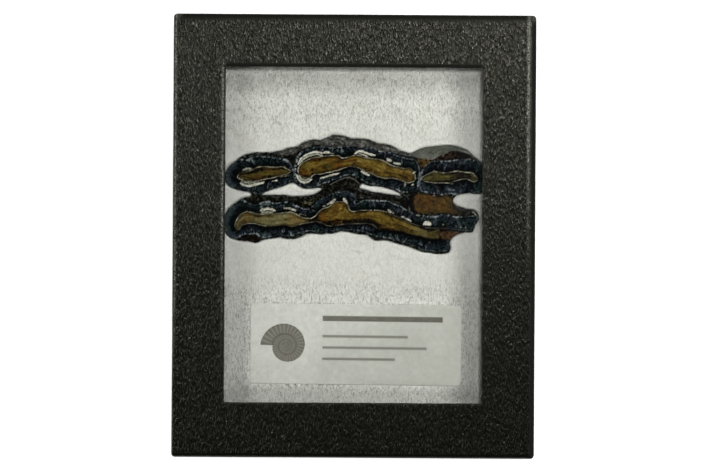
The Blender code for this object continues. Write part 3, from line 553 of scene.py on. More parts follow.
def paint_enamel(face):
    """The dark rings round the plates: bundles of prisms across each, frayed along its outer line."""
    for k, name in enumerate(DENTINE):
        seed = 100 + 31 * k
        pts = np.array(ENAMEL[name][0] + ENAMEL[name][1], float)
        lo, hi = pts.min(0) - 1.3, pts.max(0) + 1.3
        near = np.nonzero((face.x > lo[0]) & (face.x < hi[0]) & (face.y > lo[1]) & (face.y < hi[1]))[0]
        x, y, edge, fine = face.x[near], face.y[near], face.edge[near], face.fine[near]
        z = np.zeros(len(near))
        d, along, across = plate_measure(*DENTINE[name], face.sx[near], face.sy[near])
        e, run, _ = plate_measure(*ENAMEL[name], face.gx[near], face.gy[near])
        face.plates[name] = (near, d, along, across)
        out = np.maximum(-e, 0)
        r = np.clip(d, 0, None) / np.maximum(np.clip(d, 0, None) + out, 0.4)
        lean = along + 1.1 * d * (noise2(along * 0.3, z + 3, seed) - 0.5)
        streak = noise2(lean * 3.0, d * 0.55, seed + 1)
        strong = noise2(lean * 0.5, d * 0.35, seed + 2)
        mott = fractal(x * 1.6, y * 1.6, seed + 3)
        level = 0.13 + 0.06 * bump_at(0.5, 0.4, r) + 0.20 * smoothstep(0.25, 0.8, r)
        level = level + 0.22 * (mott - 0.5) + 0.38 * (fine - 0.5)
        streak = 0.55 * (smoothstep(0.45, 0.85, streak) - 0.2)
        level = level + streak * smoothstep(0.3, 0.75, strong) * smoothstep(0.1, 0.5, r)
        level = level + 0.2 * smoothstep(0.68, 0.92, face.grit[near]) * smoothstep(0.35, 0.7, r)
        comb = smoothstep(0.35, 0.72, noise2(run * 2.5, z, seed + 7))
        reach = 0.28 + 0.65 * comb * noise2(run * 0.5, z + 2, seed + 8)
        band = smoothstep(reach, reach * 0.4, out) * smoothstep(0.2, 0.0, np.maximum(e, 0))
        power = 0.35 + 0.85 * noise2(run * 0.3, z + 5, seed + 9)
        level = level + band * power * (0.2 + 0.45 * smoothstep(0.2, 0.9, edge)) * (0.2 + 0.9 * comb)
        ends = np.maximum(smoothstep(-36.5, -39.5, x), 0.6 * smoothstep(37.5, 40.0, x))
        level = level + 0.2 * smoothstep(3.4, 0.3, edge) * ends
        dots = (np.mod(run, 0.95) - 0.475) ** 2 + (out - 0.55) ** 2
        dotted = smoothstep(0.35, 0.65, noise2(run * 0.25, z, seed + 12))
        level = level - 0.5 * smoothstep(0.12, 0.03, dots) * dotted
        level = level - 0.25 * smoothstep(0.75, 0.25, d)
        teal, navy = ramp(level, "teal enamel"), ramp(level, "navy enamel")
        colour = mixed(teal, navy, smoothstep(0.4, 0.7, noise2(x * 0.42, y * 0.42, seed + 5)))
        colour = mixed(colour, (54, 66, 66), 0.7 * smoothstep(2.6, 0.2, edge) * ends)
        face.lay(colour, smoothstep(0.25, -0.05, e) * (d > -0.05), 0.12, near)
    for pts, width, tone in STREAKS:
        s = stroke(pts, width * 1.1, face.sx, face.sy)
        face.lay((158, 164, 168), smoothstep(0.0, 0.7, s) * tone * (0.25 + 0.9 * face.fine))


def paint_back(face):
    """The weathered back of the tooth, its smooth grey lens and the earth below that."""
    x, y, fine = face.x, face.y, face.fine
    past = y - np.interp(x, *np.transpose(CRUST_LINE))
    span = smoothstep(-26.5, -23.0, x) * smoothstep(18.6, 17.2, x)
    crust = smoothstep(-0.3, 0.2, past + face.stray(1.6, 61, 1.3)) * span
    ridge = fractal((x * 0.35 + y * 0.95) * 1.9, (x - y * 0.4) * 0.5, 63)
    level = 0.35 + 1.15 * (fine - 0.5) + 0.5 * (ridge - 0.5) + 0.12 * np.clip(past, 0, 3) / 3
    level = level + (face.grit - 0.5) * 0.5 + 0.10 * smoothstep(-4, 6, x)
    face.lay(ramp(level, "crust"), crust, 0.4)
    pits = smoothstep(0.6, 0.78, noise2(x * 1.7, y * 1.7, 67)) * bump_at(0.0, 0.9, past) * span
    face.lay((4, 5, 5), pits * 0.9)
    lens = smoothstep(17.0, 18.6, x) * smoothstep(-0.15, 0.15, past + face.stray(1.2, 64, 0.3))
    layer = noise2(x * 0.16, past * 2.1, 65)
    pale = bump_at(0.35, 1.0, past) * smoothstep(28.5, 24.5, x) * smoothstep(18, 20.5, x)
    level = 0.49 + 0.3 * (layer - 0.5) + 0.5 * (fine - 0.5) + 0.34 * pale
    level = level - 0.12 * bump_at(25.0, 3.5, x) * bump_at(2.1, 0.9, past)
    level = level - 0.08 * smoothstep(0.45, 0.0, face.edge)
    level = level + 0.12 * bump_at(0.12, 0.22, past) * smoothstep(26, 28, x)
    face.lay(ramp(level, "lens"), lens, 0.25)
    lift = fractal(x * 1.5, y * 1.5, 66) + 0.9 * (fine - 0.5)
    earth = ramp(lift, "earth under the lens")
    earth = mixed(earth, (66, 30, 12), bump_at(29.0, 3.5, x) * bump_at(25.0, 1.4, y) * 0.3)
    earth = mixed(earth, (10, 11, 7), smoothstep(31.0, 34.0, x) * 0.6)
    face.lay(earth, smoothstep(0.15, -0.25, region(UNDER_LENS, face.gx, face.gy)) * (1 - lens))
    earth = ramp(fractal(x * 1.6, y * 1.6, 68) + 0.7 * (fine - 0.5), "small wedge")
    earth = mixed(earth, (12, 11, 8), smoothstep(22.3, 21.3, y) * 0.8)
    face.lay(earth, smoothstep(0.2, -0.3, region(SMALL_WEDGE, face.gx, face.gy)))
    return np.maximum(lens, crust)


def paint_infill(face):
    """The orange grains between the plates at the right, and the darker stains round about."""
    x, y, fine = face.x, face.y, face.fine
    u = region(ORANGE, face.gx, face.gy)
    hue = noise2(x * 0.6, y * 0.6, 73)
    warm = 0.52 + 0.7 * (fractal(x * 1.3, y * 1.6, 72) - 0.5) + 0.6 * (fine - 0.5)
    earth = ramp(warm, "orange infill")
    earth = mixed(earth, (84, 44, 8), smoothstep(0.55, 0.8, hue) * 0.35)
    earth = mixed(earth, (58, 52, 16), smoothstep(0.45, 0.2, hue) * 0.4)
    earth = earth * (1 - 0.7 * smoothstep(29.5, 35.0, x))[:, None]
    earth = mixed(earth, (40, 34, 10), smoothstep(8.6, 7.2, y) * 0.55)
    face.lay(earth, smoothstep(0.45, -0.5, u), 0.25)
    face.lay((8, 5, 3), smoothstep(-1.1, -0.1, u) * (u < 1.0) * smoothstep(21.0, 18.8, x) * 0.75)
    earth = ramp(fractal(x * 1.6, y * 1.6, 69) + 0.8 * (fine - 0.5), "arm")
    above = smoothstep(31.0, 33.0, x + (y - 8.6) * 1.6)
    face.lay(earth, smoothstep(0.2, -0.3, region(ARM, face.gx, face.gy)) * above)
    stain = ramp(fine + 0.3 * (face.grit - 0.5), "stain")
    face.lay(stain, smoothstep(0.4, -0.3, region(LEFT_PATCH, face.gx, face.gy)) * 0.85)
    bridge = bump_at(-31.3, 2.2, x) * bump_at(12.2, 1.3, y)
    face.lay(stain, bridge * 0.8)
    grains = smoothstep(0.3, -0.3, region(GRAIN_PATCH, face.gx, face.gy))
    face.lay((112, 110, 82), grains * (0.15 + 0.85 * smoothstep(0.4, 0.7, fine)))


def lower_plate(x, across, tone, red):
    """The long lower plate: beige at its ends, golden between, with a rusty hump over its middle."""
    left = smoothstep(-13.5, -19, x)
    hump = smoothstep(-13, -9, x) * smoothstep(4, -2, x)
    tone = tone + 0.14 * left + 0.04 * hump - 0.06 * smoothstep(18, 24, x)
    tone = tone - 0.62 * bump_at(-13.0, 4.2, x)
    tone = tone - 0.45 * smoothstep(0.5, 1.0, across) * smoothstep(-12.5, -9, x) * smoothstep(20, 3, x)
    tone = tone - 0.55 * smoothstep(0.26, 0.04, across) * smoothstep(4, 13, x)
    tone = tone - 0.35 * smoothstep(0.35, 0.1, across) * bump_at(3.5, 6, x)
    gold, beige = ramp(tone, "gold dentine"), ramp(tone, "beige dentine")
    colour = mixed(gold, beige, np.clip(left + smoothstep(16, 22, x), 0, 1))
    tan = np.maximum(bump_at(-34.0, 3.0, x), bump_at(-18.5, 4.0, x))
    colour = mixed(colour, (126, 88, 40), 0.4 * left * tan)
    colour = mixed(colour, (124, 124, 94), 0.35 * bump_at(-26.0, 4.5, x) * smoothstep(0.2, 0.6, across))
    rust = hump * (0.25 + smoothstep(-6, -9, x) * 0.3) * smoothstep(0.3, 0.7, red)
    return mixed(colour, (104, 60, 12), rust)


def middle_plate(x, across, tone, red):
    """The middle plate: darker along its edges and in two bands, with red and olive stains."""
    tone = tone - 0.08 + 0.05 * smoothstep(-2, 6, x)
    tone = tone - 0.32 * smoothstep(0.3, 0.05, across) * smoothstep(1, -4, x)
    tone = tone - 0.34 * smoothstep(0.7, 0.98, across) * smoothstep(7, -2, x)
    tone = tone - 0.24 * bump_at(0.66, 0.16, across) * bump_at(-12, 9, x)
    tone = tone - 0.25 * bump_at(0.45, 0.14, across) * bump_at(-9.5, 6, x)
    tone = tone - 0.28 * bump_at(-4.4, 2.4, x) * smoothstep(0.6, 0.2, across)
    colour = ramp(tone, "middle dentine")
    colour = mixed(colour, (112, 58, 12), smoothstep(0.55, 0.8, red) * smoothstep(2, -3, x) * 0.5)
    return mixed(colour, (104, 98, 30), smoothstep(0.45, 0.2, red) * 0.35)


def dentine_colour(name, x, across, tone, red):
    """The dentine's colour at each place of a plate, for its tone and how red it is there."""
    if name == "lower":
        return lower_plate(x, across, tone, red)
    if name == "middle":
        return middle_plate(x, across, tone, red)
    if name == "left":
        tone = tone - 0.08 - 0.22 * smoothstep(0.4, 0.05, across) - 0.15 * smoothstep(-25, -21, x)
        return mixed(ramp(tone, "left dentine"), (90, 54, 14), smoothstep(0.6, 0.8, red) * 0.4)
    tone = tone - 0.10 - 0.35 * smoothstep(29, 32.5, x) * smoothstep(38, 35, x)
    tone = tone - 0.40 * smoothstep(0.66, 0.95, across)
    rust = bump_at(32.8, 1.4, x) * smoothstep(0.5, 0.1, across) * 0.6
    return mixed(ramp(tone, "right dentine"), (72, 32, 14), rust)


def cream_presence(name, x, along, across, seed):
    """How strongly the cream line shows at each place: unevenly, and little along parts of the lower plate."""
    presence = 0.35 + 0.9 * noise2(along * 0.8, np.zeros(len(x)), seed)
    if name == "lower":
        below = across > 0.5
        presence = presence * (1 - 0.85 * smoothstep(6.8, 8.6, x) * below)
        presence = presence * (1 - 0.55 * smoothstep(10, 15, x))
        presence = presence * (1 - 0.85 * smoothstep(-19.5, -21, x) * smoothstep(-28.5, -27, x) * below)
        presence = presence * (1 - smoothstep(25.8, 26.6, x))
        presence = presence * (1 - 0.45 * smoothstep(-14, -10, x) * below)
    return presence


def paint_dentine(face):
    """The golden plates, clouded and striped along their length, each drawn round with a thin cream line."""
    for k, name in enumerate(DENTINE):
        near, d, along, across = face.plates[name]
        seed = 400 + 13 * k
        x, y, fine = face.x[near], face.y[near], face.fine[near]
        cloud = fractal(x * 0.75, y * 0.95, seed)
        stripe = fractal(along * 0.2 + cloud * 0.5, across * 5.0, seed + 1)
        tone = 0.46 + 0.6 * (cloud - 0.5) + 1.2 * (stripe - 0.5) + 0.38 * (fine - 0.5)
        crack = np.abs(noise2(x * 0.13 + 7 * k, across * 2.6 + 0.5 * cloud, seed + 6) - 0.5)
        tone = tone - 0.45 * smoothstep(0.035, 0.0, crack) * (0.4 + fine)
        colour = dentine_colour(name, x, across, tone, noise2(x * 0.5, across * 3.2, seed + 2))
        face.lay(colour, smoothstep(0.08, -0.08, d), 0.18, near)
        width = 0.11 + 0.08 * noise2(along * 0.5, np.full(len(near), 9.0), seed + 5)
        line = smoothstep(width, width * 0.35, np.abs(d - 0.12))
        keep = np.clip(line * cream_presence(name, x, along, across, seed + 4), 0, 1)
        shade = smoothstep(1.0, 0.1, -d) * (d < 0.25) * 0.35
        face.lay((6, 5, 3), shade * (1 - keep), None, near)
        cream = np.array(CREAM_LOWER if name == "lower" else CREAM, float)
        face.lay(cream * (0.8 + 0.4 * fine)[:, None], keep, None, near)


def paint_marks(face):
    """What lies over the plates: the flesh-brown wedge and its spot, single lines and chalky lumps."""
    x, y, sx, sy, fine = face.x, face.y, face.sx, face.sy, face.fine
    flesh = ramp(fractal(x * 1.5, y * 1.5, 74) + 0.6 * (fine - 0.5), "flesh")
    face.lay(flesh, smoothstep(0.15, -0.2, region(WEDGE, face.gx, face.gy)))
    spot = np.hypot((x - 28.7) / 1.25, y - 2.35)
    face.lay((20, 6, 7), smoothstep(1.05, 0.55, spot + face.stray(1.5, 75, 0.5)) * 0.85)
    for pts, width, colour, power in MARKS:
        face.lay(colour, smoothstep(0, 0.7, stroke(pts, width, sx, sy)) * power)
    for i, (pts, width, tone) in enumerate(CHALK):
        s = stroke(pts, width, x + face.stray(2.2, 51 + i, 0.5), y + face.stray(2.2, 91 + i, 0.5))
        near = np.nonzero(s > -2)[0]
        if not len(near):
            continue
        s = s[near]
        face.lay((5, 6, 5), smoothstep(-0.9, -0.1, s) * smoothstep(0.3, 0.0, s) * 0.6, None, near)
        layers = fractal(x[near] * 1.1, y[near] * 3.0, 300 + i)
        white = ramp(tone * 0.95 + 1.2 * (layers - 0.5) + 0.6 * (fine[near] - 0.5), "chalk")
        face.lay(white, smoothstep(-0.1, 0.3, s) * min(1.0, 0.5 + tone * 0.6), 0.35, near)


def paint(x, y, edge):
    """sRGB colour and roughness of the slice's face at each place, in millimetres."""
    face = Face(x, y, edge)
    paint_cement(face)
    paint_enamel(face)
    flecks = smoothstep(0.62, 0.8, noise2(x * 2.0, y * 2.0, 83))
    flecks = flecks * smoothstep(0.1, 0.3, edge) * smoothstep(1.1, 0.5, edge)
    face.lay((112, 118, 112), flecks * 0.7)
    back = paint_back(face)
    paint_infill(face)
    paint_dentine(face)
    paint_marks(face)
    grit = noise2(x * 2.7, y * 2.7, 93) - 0.5
    amount = 1.5 - 1.25 * smoothstep(20, 46, face.colour.mean(1))
    face.colour = face.colour * np.clip(1.04 + amount * grit, 0.2, 2.2)[:, None]
    chipped = 0.1 + 0.9 * smoothstep(0.4, 0.62, noise2(x * 1.3, y * 1.3, 81))
    chip = smoothstep(0.42, 0.08, edge) * (1 - back) * chipped
    face.lay((5, 6, 5), chip * 0.5)
    return face.colour, face.rough

# ------------------------------------------------------------------ meshes

def linear(colour):
    """Light for an sRGB colour."""
    c = np.clip(np.asarray(colour, float) / 255.0, 0, 1)
    return np.where(c <= 0.04045, c / 12.92, ((c + 0.055) / 1.055) ** 2.4)


def node_box(name):
    """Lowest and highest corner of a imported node, in millimetres."""
    low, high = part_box(name)
    return np.array(low) / MM, np.array(high) / MM


def signed_area(loop):
    """Area of a closed outline, positive where it runs anticlockwise."""
    after = np.roll(loop, -1, 0)
    return 0.5 * (loop[:, 0] * after[:, 1] - after[:, 0] * loop[:, 1]).sum()


def section_loops(name, height):
    """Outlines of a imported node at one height, largest first: that one anticlockwise, the rest clockwise."""
    work = bmesh.new()
    work.from_mesh(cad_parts[name].data)
    bmesh.ops.remove_doubles(work, verts=work.verts, dist=1e-6)
    cut = bmesh.ops.bisect_plane(work, geom=work.verts[:] + work.edges[:] + work.faces[:], dist=1e-8,
                                 plane_co=(0, 0, height * MM), plane_no=(0, 0, 1))
    edges = dict.fromkeys(e for e in cut["geom_cut"] if isinstance(e, bmesh.types.BMEdge))
    loops = []
    while edges:
        edge = next(iter(edges))
        del edges[edge]
        first, vert = edge.verts
        points = [first.co.xy, vert.co.xy]
        while vert != first:
            edge = next(e for e in vert.link_edges if e in edges)
            del edges[edge]
            vert = edge.other_vert(vert)
            points.append(vert.co.xy)
        loops.append(np.array(points[:-1]) / MM)
    work.free()
    loops.sort(key=lambda loop: -abs(signed_area(loop)))
    return [loop if (signed_area(loop) > 0) == (i == 0) else loop[::-1] for i, loop in enumerate(loops)]


def resampled(loop, step):
    """A closed outline again, with points this far apart."""
    closed = np.vstack([loop, loop[:1]])
    before = np.concatenate([[0], np.cumsum(np.hypot(*np.diff(closed, axis=0).T))])
    at = np.linspace(0, before[-1], int(before[-1] / step), endpoint=False)
    return np.stack([np.interp(at, before, closed[:, c]) for c in (0, 1)], 1)


def outline_measure(loops, x, y):
    """Distance to the nearest outline, negative inside the largest and outside the others."""
    gap = np.full(len(x), np.inf)
    within = np.zeros(len(x), bool)
    for loop in loops:
        gap = np.minimum(gap, nearest(np.vstack([loop, loop[:1]]), x, y)[0])
        within ^= inside(loop, x, y)
    return np.where(within, -gap, gap)


class Builder:
    """Gathers vertices and faces, with a bake coordinate for each face corner, into one mesh."""

    def __init__(self):
        self.points, self.faces, self.uvs, self.count = [], [], [], 0

    def add_points(self, points):
        """Adds vertices and returns the number of the first."""
        self.points.append(np.asarray(points, float))
        self.count += len(points)
        return self.count - len(points)

    def add_faces(self, faces, uvs):
        """Faces are rows of vertex numbers, and uvs has a pair for each of their corners."""
        self.faces.extend(np.asarray(faces).tolist())
        self.uvs.append(np.asarray(uvs, float).reshape(-1, 2))

    def add_sheet(self, points, rows, columns, flat):
        """A grid of vertices that faces up, with the bake coordinates of each."""
        self.add_points(points)
        faces = grid_faces(rows, columns)[0][:, ::-1]
        self.add_faces(faces, flat[faces])

    def add_walls(self, upper, lower, share, above, below):
        """Quads between two rings of vertices, baked as a strip between two heights of the bake."""
        quads = np.stack([upper, lower, np.roll(lower, -1), np.roll(upper, -1)], 1)
        strip = [np.stack([share, np.full(len(share), v)], 1) for v in (above, below, below, above)]
        self.add_faces(quads, np.stack(strip, 1))

    def add_fan(self, ring, middle, spot):
        """Triangles that face down, from a ring of vertices to a new one in its middle, baked at one spot."""
        centre = self.add_points([middle])
        fan = np.stack([np.roll(ring, -1), ring, np.full(len(ring), centre)], 1)
        self.add_faces(fan, np.tile(spot, (fan.size, 1)))

    def build(self, name, material):
        """The mesh as a piece of the one body, smooth all over."""
        mesh = bpy.data.meshes.new(name)
        mesh.from_pydata((np.vstack(self.points) * MM).tolist(), [], self.faces)
        uvs = np.vstack(self.uvs).astype(np.float32)
        mesh.uv_layers.new(name="OFBake").data.foreach_set("uv", uvs.ravel())
        mesh.shade_smooth()
        mesh.materials.append(material)
        piece = bpy.data.objects.new(name, mesh)
        bpy.context.scene.collection.objects.link(piece)
        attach(piece, "root")
        return piece


def grid_faces(rows, columns, first=0, wrap=False):
    """Quads of a grid of vertices numbered along its columns, and the row and column of their corners."""
    r, c = np.meshgrid(np.arange(rows - 1), np.arange(columns if wrap else columns - 1), indexing="ij")
    r, c = r.ravel(), c.ravel()
    rr = np.stack([r, r + 1, r + 1, r], 1)
    cc = np.stack([c, c, c + 1, c + 1], 1)
    return first + rr * columns + cc % columns, rr, cc


def grid_rim(rows, columns):
    """The vertices round a grid's edge, anticlockwise from its first one."""
    return np.concatenate([np.arange(columns - 1), np.arange(rows - 1) * columns + columns - 1,
                           (rows - 1) * columns + np.arange(columns - 1, 0, -1),
                           np.arange(rows - 1, 0, -1) * columns])


def point_attribute(piece, name, values):
    """Stores one number or one colour for each vertex, for the piece's material to read."""
    values = np.asarray(values, np.float32)
    if values.ndim == 1:
        piece.data.attributes.new(name, "FLOAT", "POINT").data.foreach_set("value", values)
    else:
        rgba = np.hstack([values, np.ones((len(values), 1), np.float32)])
        piece.data.attributes.new(name, "FLOAT_COLOR", "POINT").data.foreach_set("color", rgba.ravel())

# ------------------------------------------------------------------ materials

class Shader:
    """A Principled material with the few node patterns used here, in millimetres of object space."""

    def __init__(self, name, **settings):
        self.material = bpy.data.materials.new(name)
        self.material.use_nodes = True
        self.nodes, self.links = self.material.node_tree.nodes, self.material.node_tree.links
        self.surface = self.nodes["Principled BSDF"]
        for socket, value in settings.items():
            self.surface.inputs[socket.replace("_", " ")].default_value = value
        self.place = self.add("ShaderNodeTexCoord").outputs["Object"]

    def add(self, kind, inputs=(), **settings):
        """A new node: its inputs are sockets to link or values to set."""
        node = self.nodes.new(kind)
        for key, value in settings.items():
            setattr(node, key, value)
        for socket, value in dict(inputs).items():
            if isinstance(value, bpy.types.NodeSocket):
                self.links.new(value, node.inputs[socket])
            else:
                node.inputs[socket].default_value = value
        return node

    def stretched(self, size):
        """Object coordinates with one unit to this many millimetres along X, Y and Z."""
        scale = [1 / (s * MM) for s in size]
        return self.add("ShaderNodeMapping", {"Vector": self.place, "Scale": scale}).outputs["Vector"]

    def noise(self, size, detail=2.0, roughness=0.55, distortion=0.0):
        """Noise whose lumps are about this many millimetres along X, Y and Z."""
        inputs = {"Vector": self.stretched(size), "Scale": 1.0, "Detail": detail, "Roughness": roughness,
                  "Distortion": distortion}
        return self.add("ShaderNodeTexNoise", inputs).outputs["Fac"]

    def remap(self, value, low, high, to_low=0.0, to_high=1.0):
        """A value's place between two limits, held to them and stretched to two others."""
        return self.add("ShaderNodeMapRange", {"Value": value, "From Min": low, "From Max": high,
                                               "To Min": to_low, "To Max": to_high}).outputs["Result"]

    def product(self, a, b):
        return self.add("ShaderNodeMath", {0: a, 1: b}, operation="MULTIPLY").outputs[0]

    def total(self, a, b):
        return self.add("ShaderNodeMath", {0: a, 1: b}, operation="ADD").outputs[0]

    def blend(self, factor, a, b, mode="MIX"):
        """Two colours mixed: each is a socket or an sRGB triple."""
        node = self.add("ShaderNodeMix", data_type="RGBA", blend_type=mode)
        for index, value in ((0, factor), (6, a), (7, b)):
            if isinstance(value, bpy.types.NodeSocket):
                self.links.new(value, node.inputs[index])
            else:
                node.inputs[index].default_value = value if index == 0 else (*linear(value), 1.0)
        return node.outputs[2]

    def attribute(self, name, output="Color"):
        """What point_attribute() stored: its Color, or its Fac where it is a single number."""
        return self.add("ShaderNodeAttribute", attribute_name=name).outputs[output]

    def bump(self, height, strength, distance):
        """A normal for a surface that rises and falls by this many millimetres."""
        inputs = {"Height": height, "Strength": strength, "Distance": distance * MM}
        return self.add("ShaderNodeBump", inputs).outputs["Normal"]

    def finish(self, **links):
        """Links sockets to the surface's own and gives back the material."""
        for socket, value in links.items():
            self.links.new(value, self.surface.inputs[socket.replace("_", " ")])
        return self.material


def leatherette_material():
    """Black embossed paper: ridges that shine a little over matt creases; the paler crests and white edges are
    wear and painted highlight.
    """
    s = Shader("leatherette")
    s.surface.inputs["Specular IOR Level"].default_value = LEATHER_SHINE
    s.surface.inputs["Specular Tint"].default_value = LEATHER_TINT
    ridge = s.noise(LEATHER_RIDGE, 1.0, 0.5, distortion=0.4)
    crumb = s.noise((0.27, 0.36, 0.27), 1.0)
    cloud = s.noise((9.0, 14.0, 9.0))
    worn_and_lit = s.attribute("worn_and_lit", "Fac")
    rubbed_and_lit = s.attribute("rubbed_and_lit", "Fac")
    crest = s.product(s.remap(ridge, *LEATHER_CREST), rubbed_and_lit)
    rough = s.total(s.remap(crest, 0.0, 1.0, *LEATHER_ROUGH),
                    s.product(s.attribute("crushed", "Fac"), LEATHER_RIM_ROUGH))
    # crests painted paler than the creases: partly wear, partly painted highlight
    colour = s.blend(crest, LEATHER_DARK, LEATHER_PALE)
    colour = s.blend(s.remap(cloud, 0.35, 0.7, 0.0, 0.2), colour, LEATHER_CLOUD)
    # painted highlight and wear along the lid's edges, speckled
    colour = s.blend(s.product(worn_and_lit, s.remap(crumb, 0.46, 0.54)), colour, LEATHER_WORN_AND_LIT)
    normal = s.bump(ridge, s.remap(s.attribute("stretched", "Fac"), 0.0, 1.0, 1.0, 0.2), LEATHER_EMBOSS)
    return s.finish(Base_Color=colour, Roughness=rough, Normal=normal)


def board_material():
    """Black lining paper over grey board, faintly fibrous."""
    s = Shader("board", Roughness=0.8)
    fibre = s.noise((1.6, 0.25, 0.6), 3.0)
    speck = s.noise((0.5, 0.5, 0.5), 2.0)
    colour = s.blend(s.remap(fibre, 0.35, 0.7), BOARD_DARK, BOARD_PALE)
    colour = s.blend(s.remap(speck, 0.6, 0.75), colour, BOARD_SPECK)
    return s.finish(Base_Color=colour, Roughness=s.remap(speck, 0.3, 0.7, 0.7, 0.9),
                    Normal=s.bump(fibre, 0.5, 0.08))


def glass_material():
    """Clear window glass."""
    return Shader("glass", Roughness=0.0, IOR=1.5, Transmission_Weight=1.0).material


def batting_material():
    """Soft white fibre-fill with painted shade: darker near the window's edges and between loose strands."""
    s = Shader("batting", Roughness=0.95)
    s.surface.inputs["Specular IOR Level"].default_value = BATTING_SHINE
    wisp = s.noise((0.55, 0.55, 0.55), 4.0, 0.7)
    cloud = s.noise((7.0, 7.0, 7.0), 2.0)
    colour = s.blend(s.remap(wisp, 0.3, 0.7), BATTING_SHADE, BATTING_LIGHT)
    colour = s.blend(s.remap(cloud, 0.4, 0.7, 0.0, 0.35), colour, BATTING_CLOUD)
    strand = s.noise((0.4, 1.2, 0.6), 2.0, 0.65, distortion=1.1)
    # painted shade between the strands, strongest where they have come loose
    strand_shade = s.product(s.remap(strand, 0.54, 0.36), s.attribute("shade_between_strands", "Fac"))
    colour = s.blend(strand_shade, colour, BATTING_STRAND_SHADE)
    # painted shade: darker towards the window's edges, where the lid's shade falls
    colour = s.blend(s.attribute("edge_shade", "Fac"), colour, (0, 0, 0))
    return s.finish(Base_Color=colour, Normal=s.bump(wisp, 0.9, 0.22))


def fossil_material():
    """The painted face with the stone's own fine grain: polished in the enamel, duller in the crust."""
    s = Shader("fossil", Roughness=0.3)
    s.surface.inputs["Specular IOR Level"].default_value = STONE_SHINE
    grain = s.noise((0.22, 0.22, 0.22), 3.0, 0.65)
    stone = s.attribute("stone")
    colour = s.blend(1.0, stone, s.blend(s.remap(grain, 0.34, 0.66), STONE_GRAIN, (255, 255, 255)), "MULTIPLY")
    return s.finish(Base_Color=colour, Roughness=s.attribute("matt", "Fac"), Normal=s.bump(grain, 0.25, 0.03))


def label_material():
    """Printed film, slightly satin."""
    s = Shader("label", Roughness=0.5)
    cloud = s.noise((1.4, 1.4, 1.4), 3.0)
    colour = s.blend(s.remap(cloud, 0.3, 0.7, 0.0, 0.25), s.attribute("print"), LABEL_CLOUD)
    return s.finish(Base_Color=colour, Normal=s.bump(cloud, 0.15, 0.05))


def floor_material():
    """White sweep, lit from within so that it stays clean white."""
    return Shader("floor", Base_Color=(0.9, 0.9, 0.9, 1.0), Roughness=0.9, Emission_Color=(1.0, 1.0, 1.0, 1.0),
                  Emission_Strength=FLOOR_GLOW).material

# ------------------------------------------------------------------ lid

def pebbles(points, size, seed):
    """Embossed grain at each place: 1 on top of an irregular pebble, 0 in the creases between pebbles."""
    p = points / size
    drift = [fractal(p[:, 1] + p[:, 2], p[:, 0], seed + k, 2) - 0.5 for k in range(3)]
    p = p + LEATHER_PEBBLE_STRAY * np.stack(drift, 1)
    home = np.floor(p)
    first, second = np.full(len(p), 9.0), np.full(len(p), 9.0)
    lift = np.zeros(len(p))
    for dx in (-1, 0, 1):
        for dy in (-1, 0, 1):
            for dz in (-1, 0, 1):
                cell = home + (dx, dy, dz)
                flat = cell[:, 1] + 57 * cell[:, 2]
                chance = [lattice(cell[:, 0], flat, seed + 5 + k) for k in range(3)]
                seat = cell + 0.1 + 0.8 * np.stack(chance, 1)
                gap = np.sqrt(((p - seat) ** 2).sum(1))
                closer = gap < first
                second = np.where(closer, first, np.minimum(second, gap))
                lift = np.where(closer, lattice(cell[:, 0], flat, seed + 9), lift)
                first = np.where(closer, gap, first)
    return smoothstep(0.0, LEATHER_CREASE, second - first) * (0.62 + 0.38 * lift)


def box_ring(left, right, bottom, top, radius, across, along):
    """Points round a rectangle with round corners, from its lower left one anticlockwise."""
    path, counts = [], (across, along, across, along)
    centres = [(left + radius, bottom + radius), (right - radius, bottom + radius),
               (right - radius, top - radius), (left + radius, top - radius)]
    for corner in range(4):
        turn = math.radians(225 + 90 * corner) + np.linspace(0, math.pi / 4, LID_CORNER_STEPS)
        begin = np.array(centres[corner]) + radius * np.stack([np.cos(turn), np.sin(turn)], 1)
        turn = turn + math.pi / 4
        end = np.array(centres[(corner + 1) % 4]) + radius * np.stack([np.cos(turn), np.sin(turn)], 1)
        side = np.vstack([begin, end])
        travel = np.concatenate([[0], np.cumsum(np.hypot(*np.diff(side, axis=0).T))])
        at = np.linspace(0, travel[-1], counts[corner], endpoint=False)
        path.append(np.stack([np.interp(at, travel, side[:, c]) for c in (0, 1)], 1))
    return np.vstack(path)


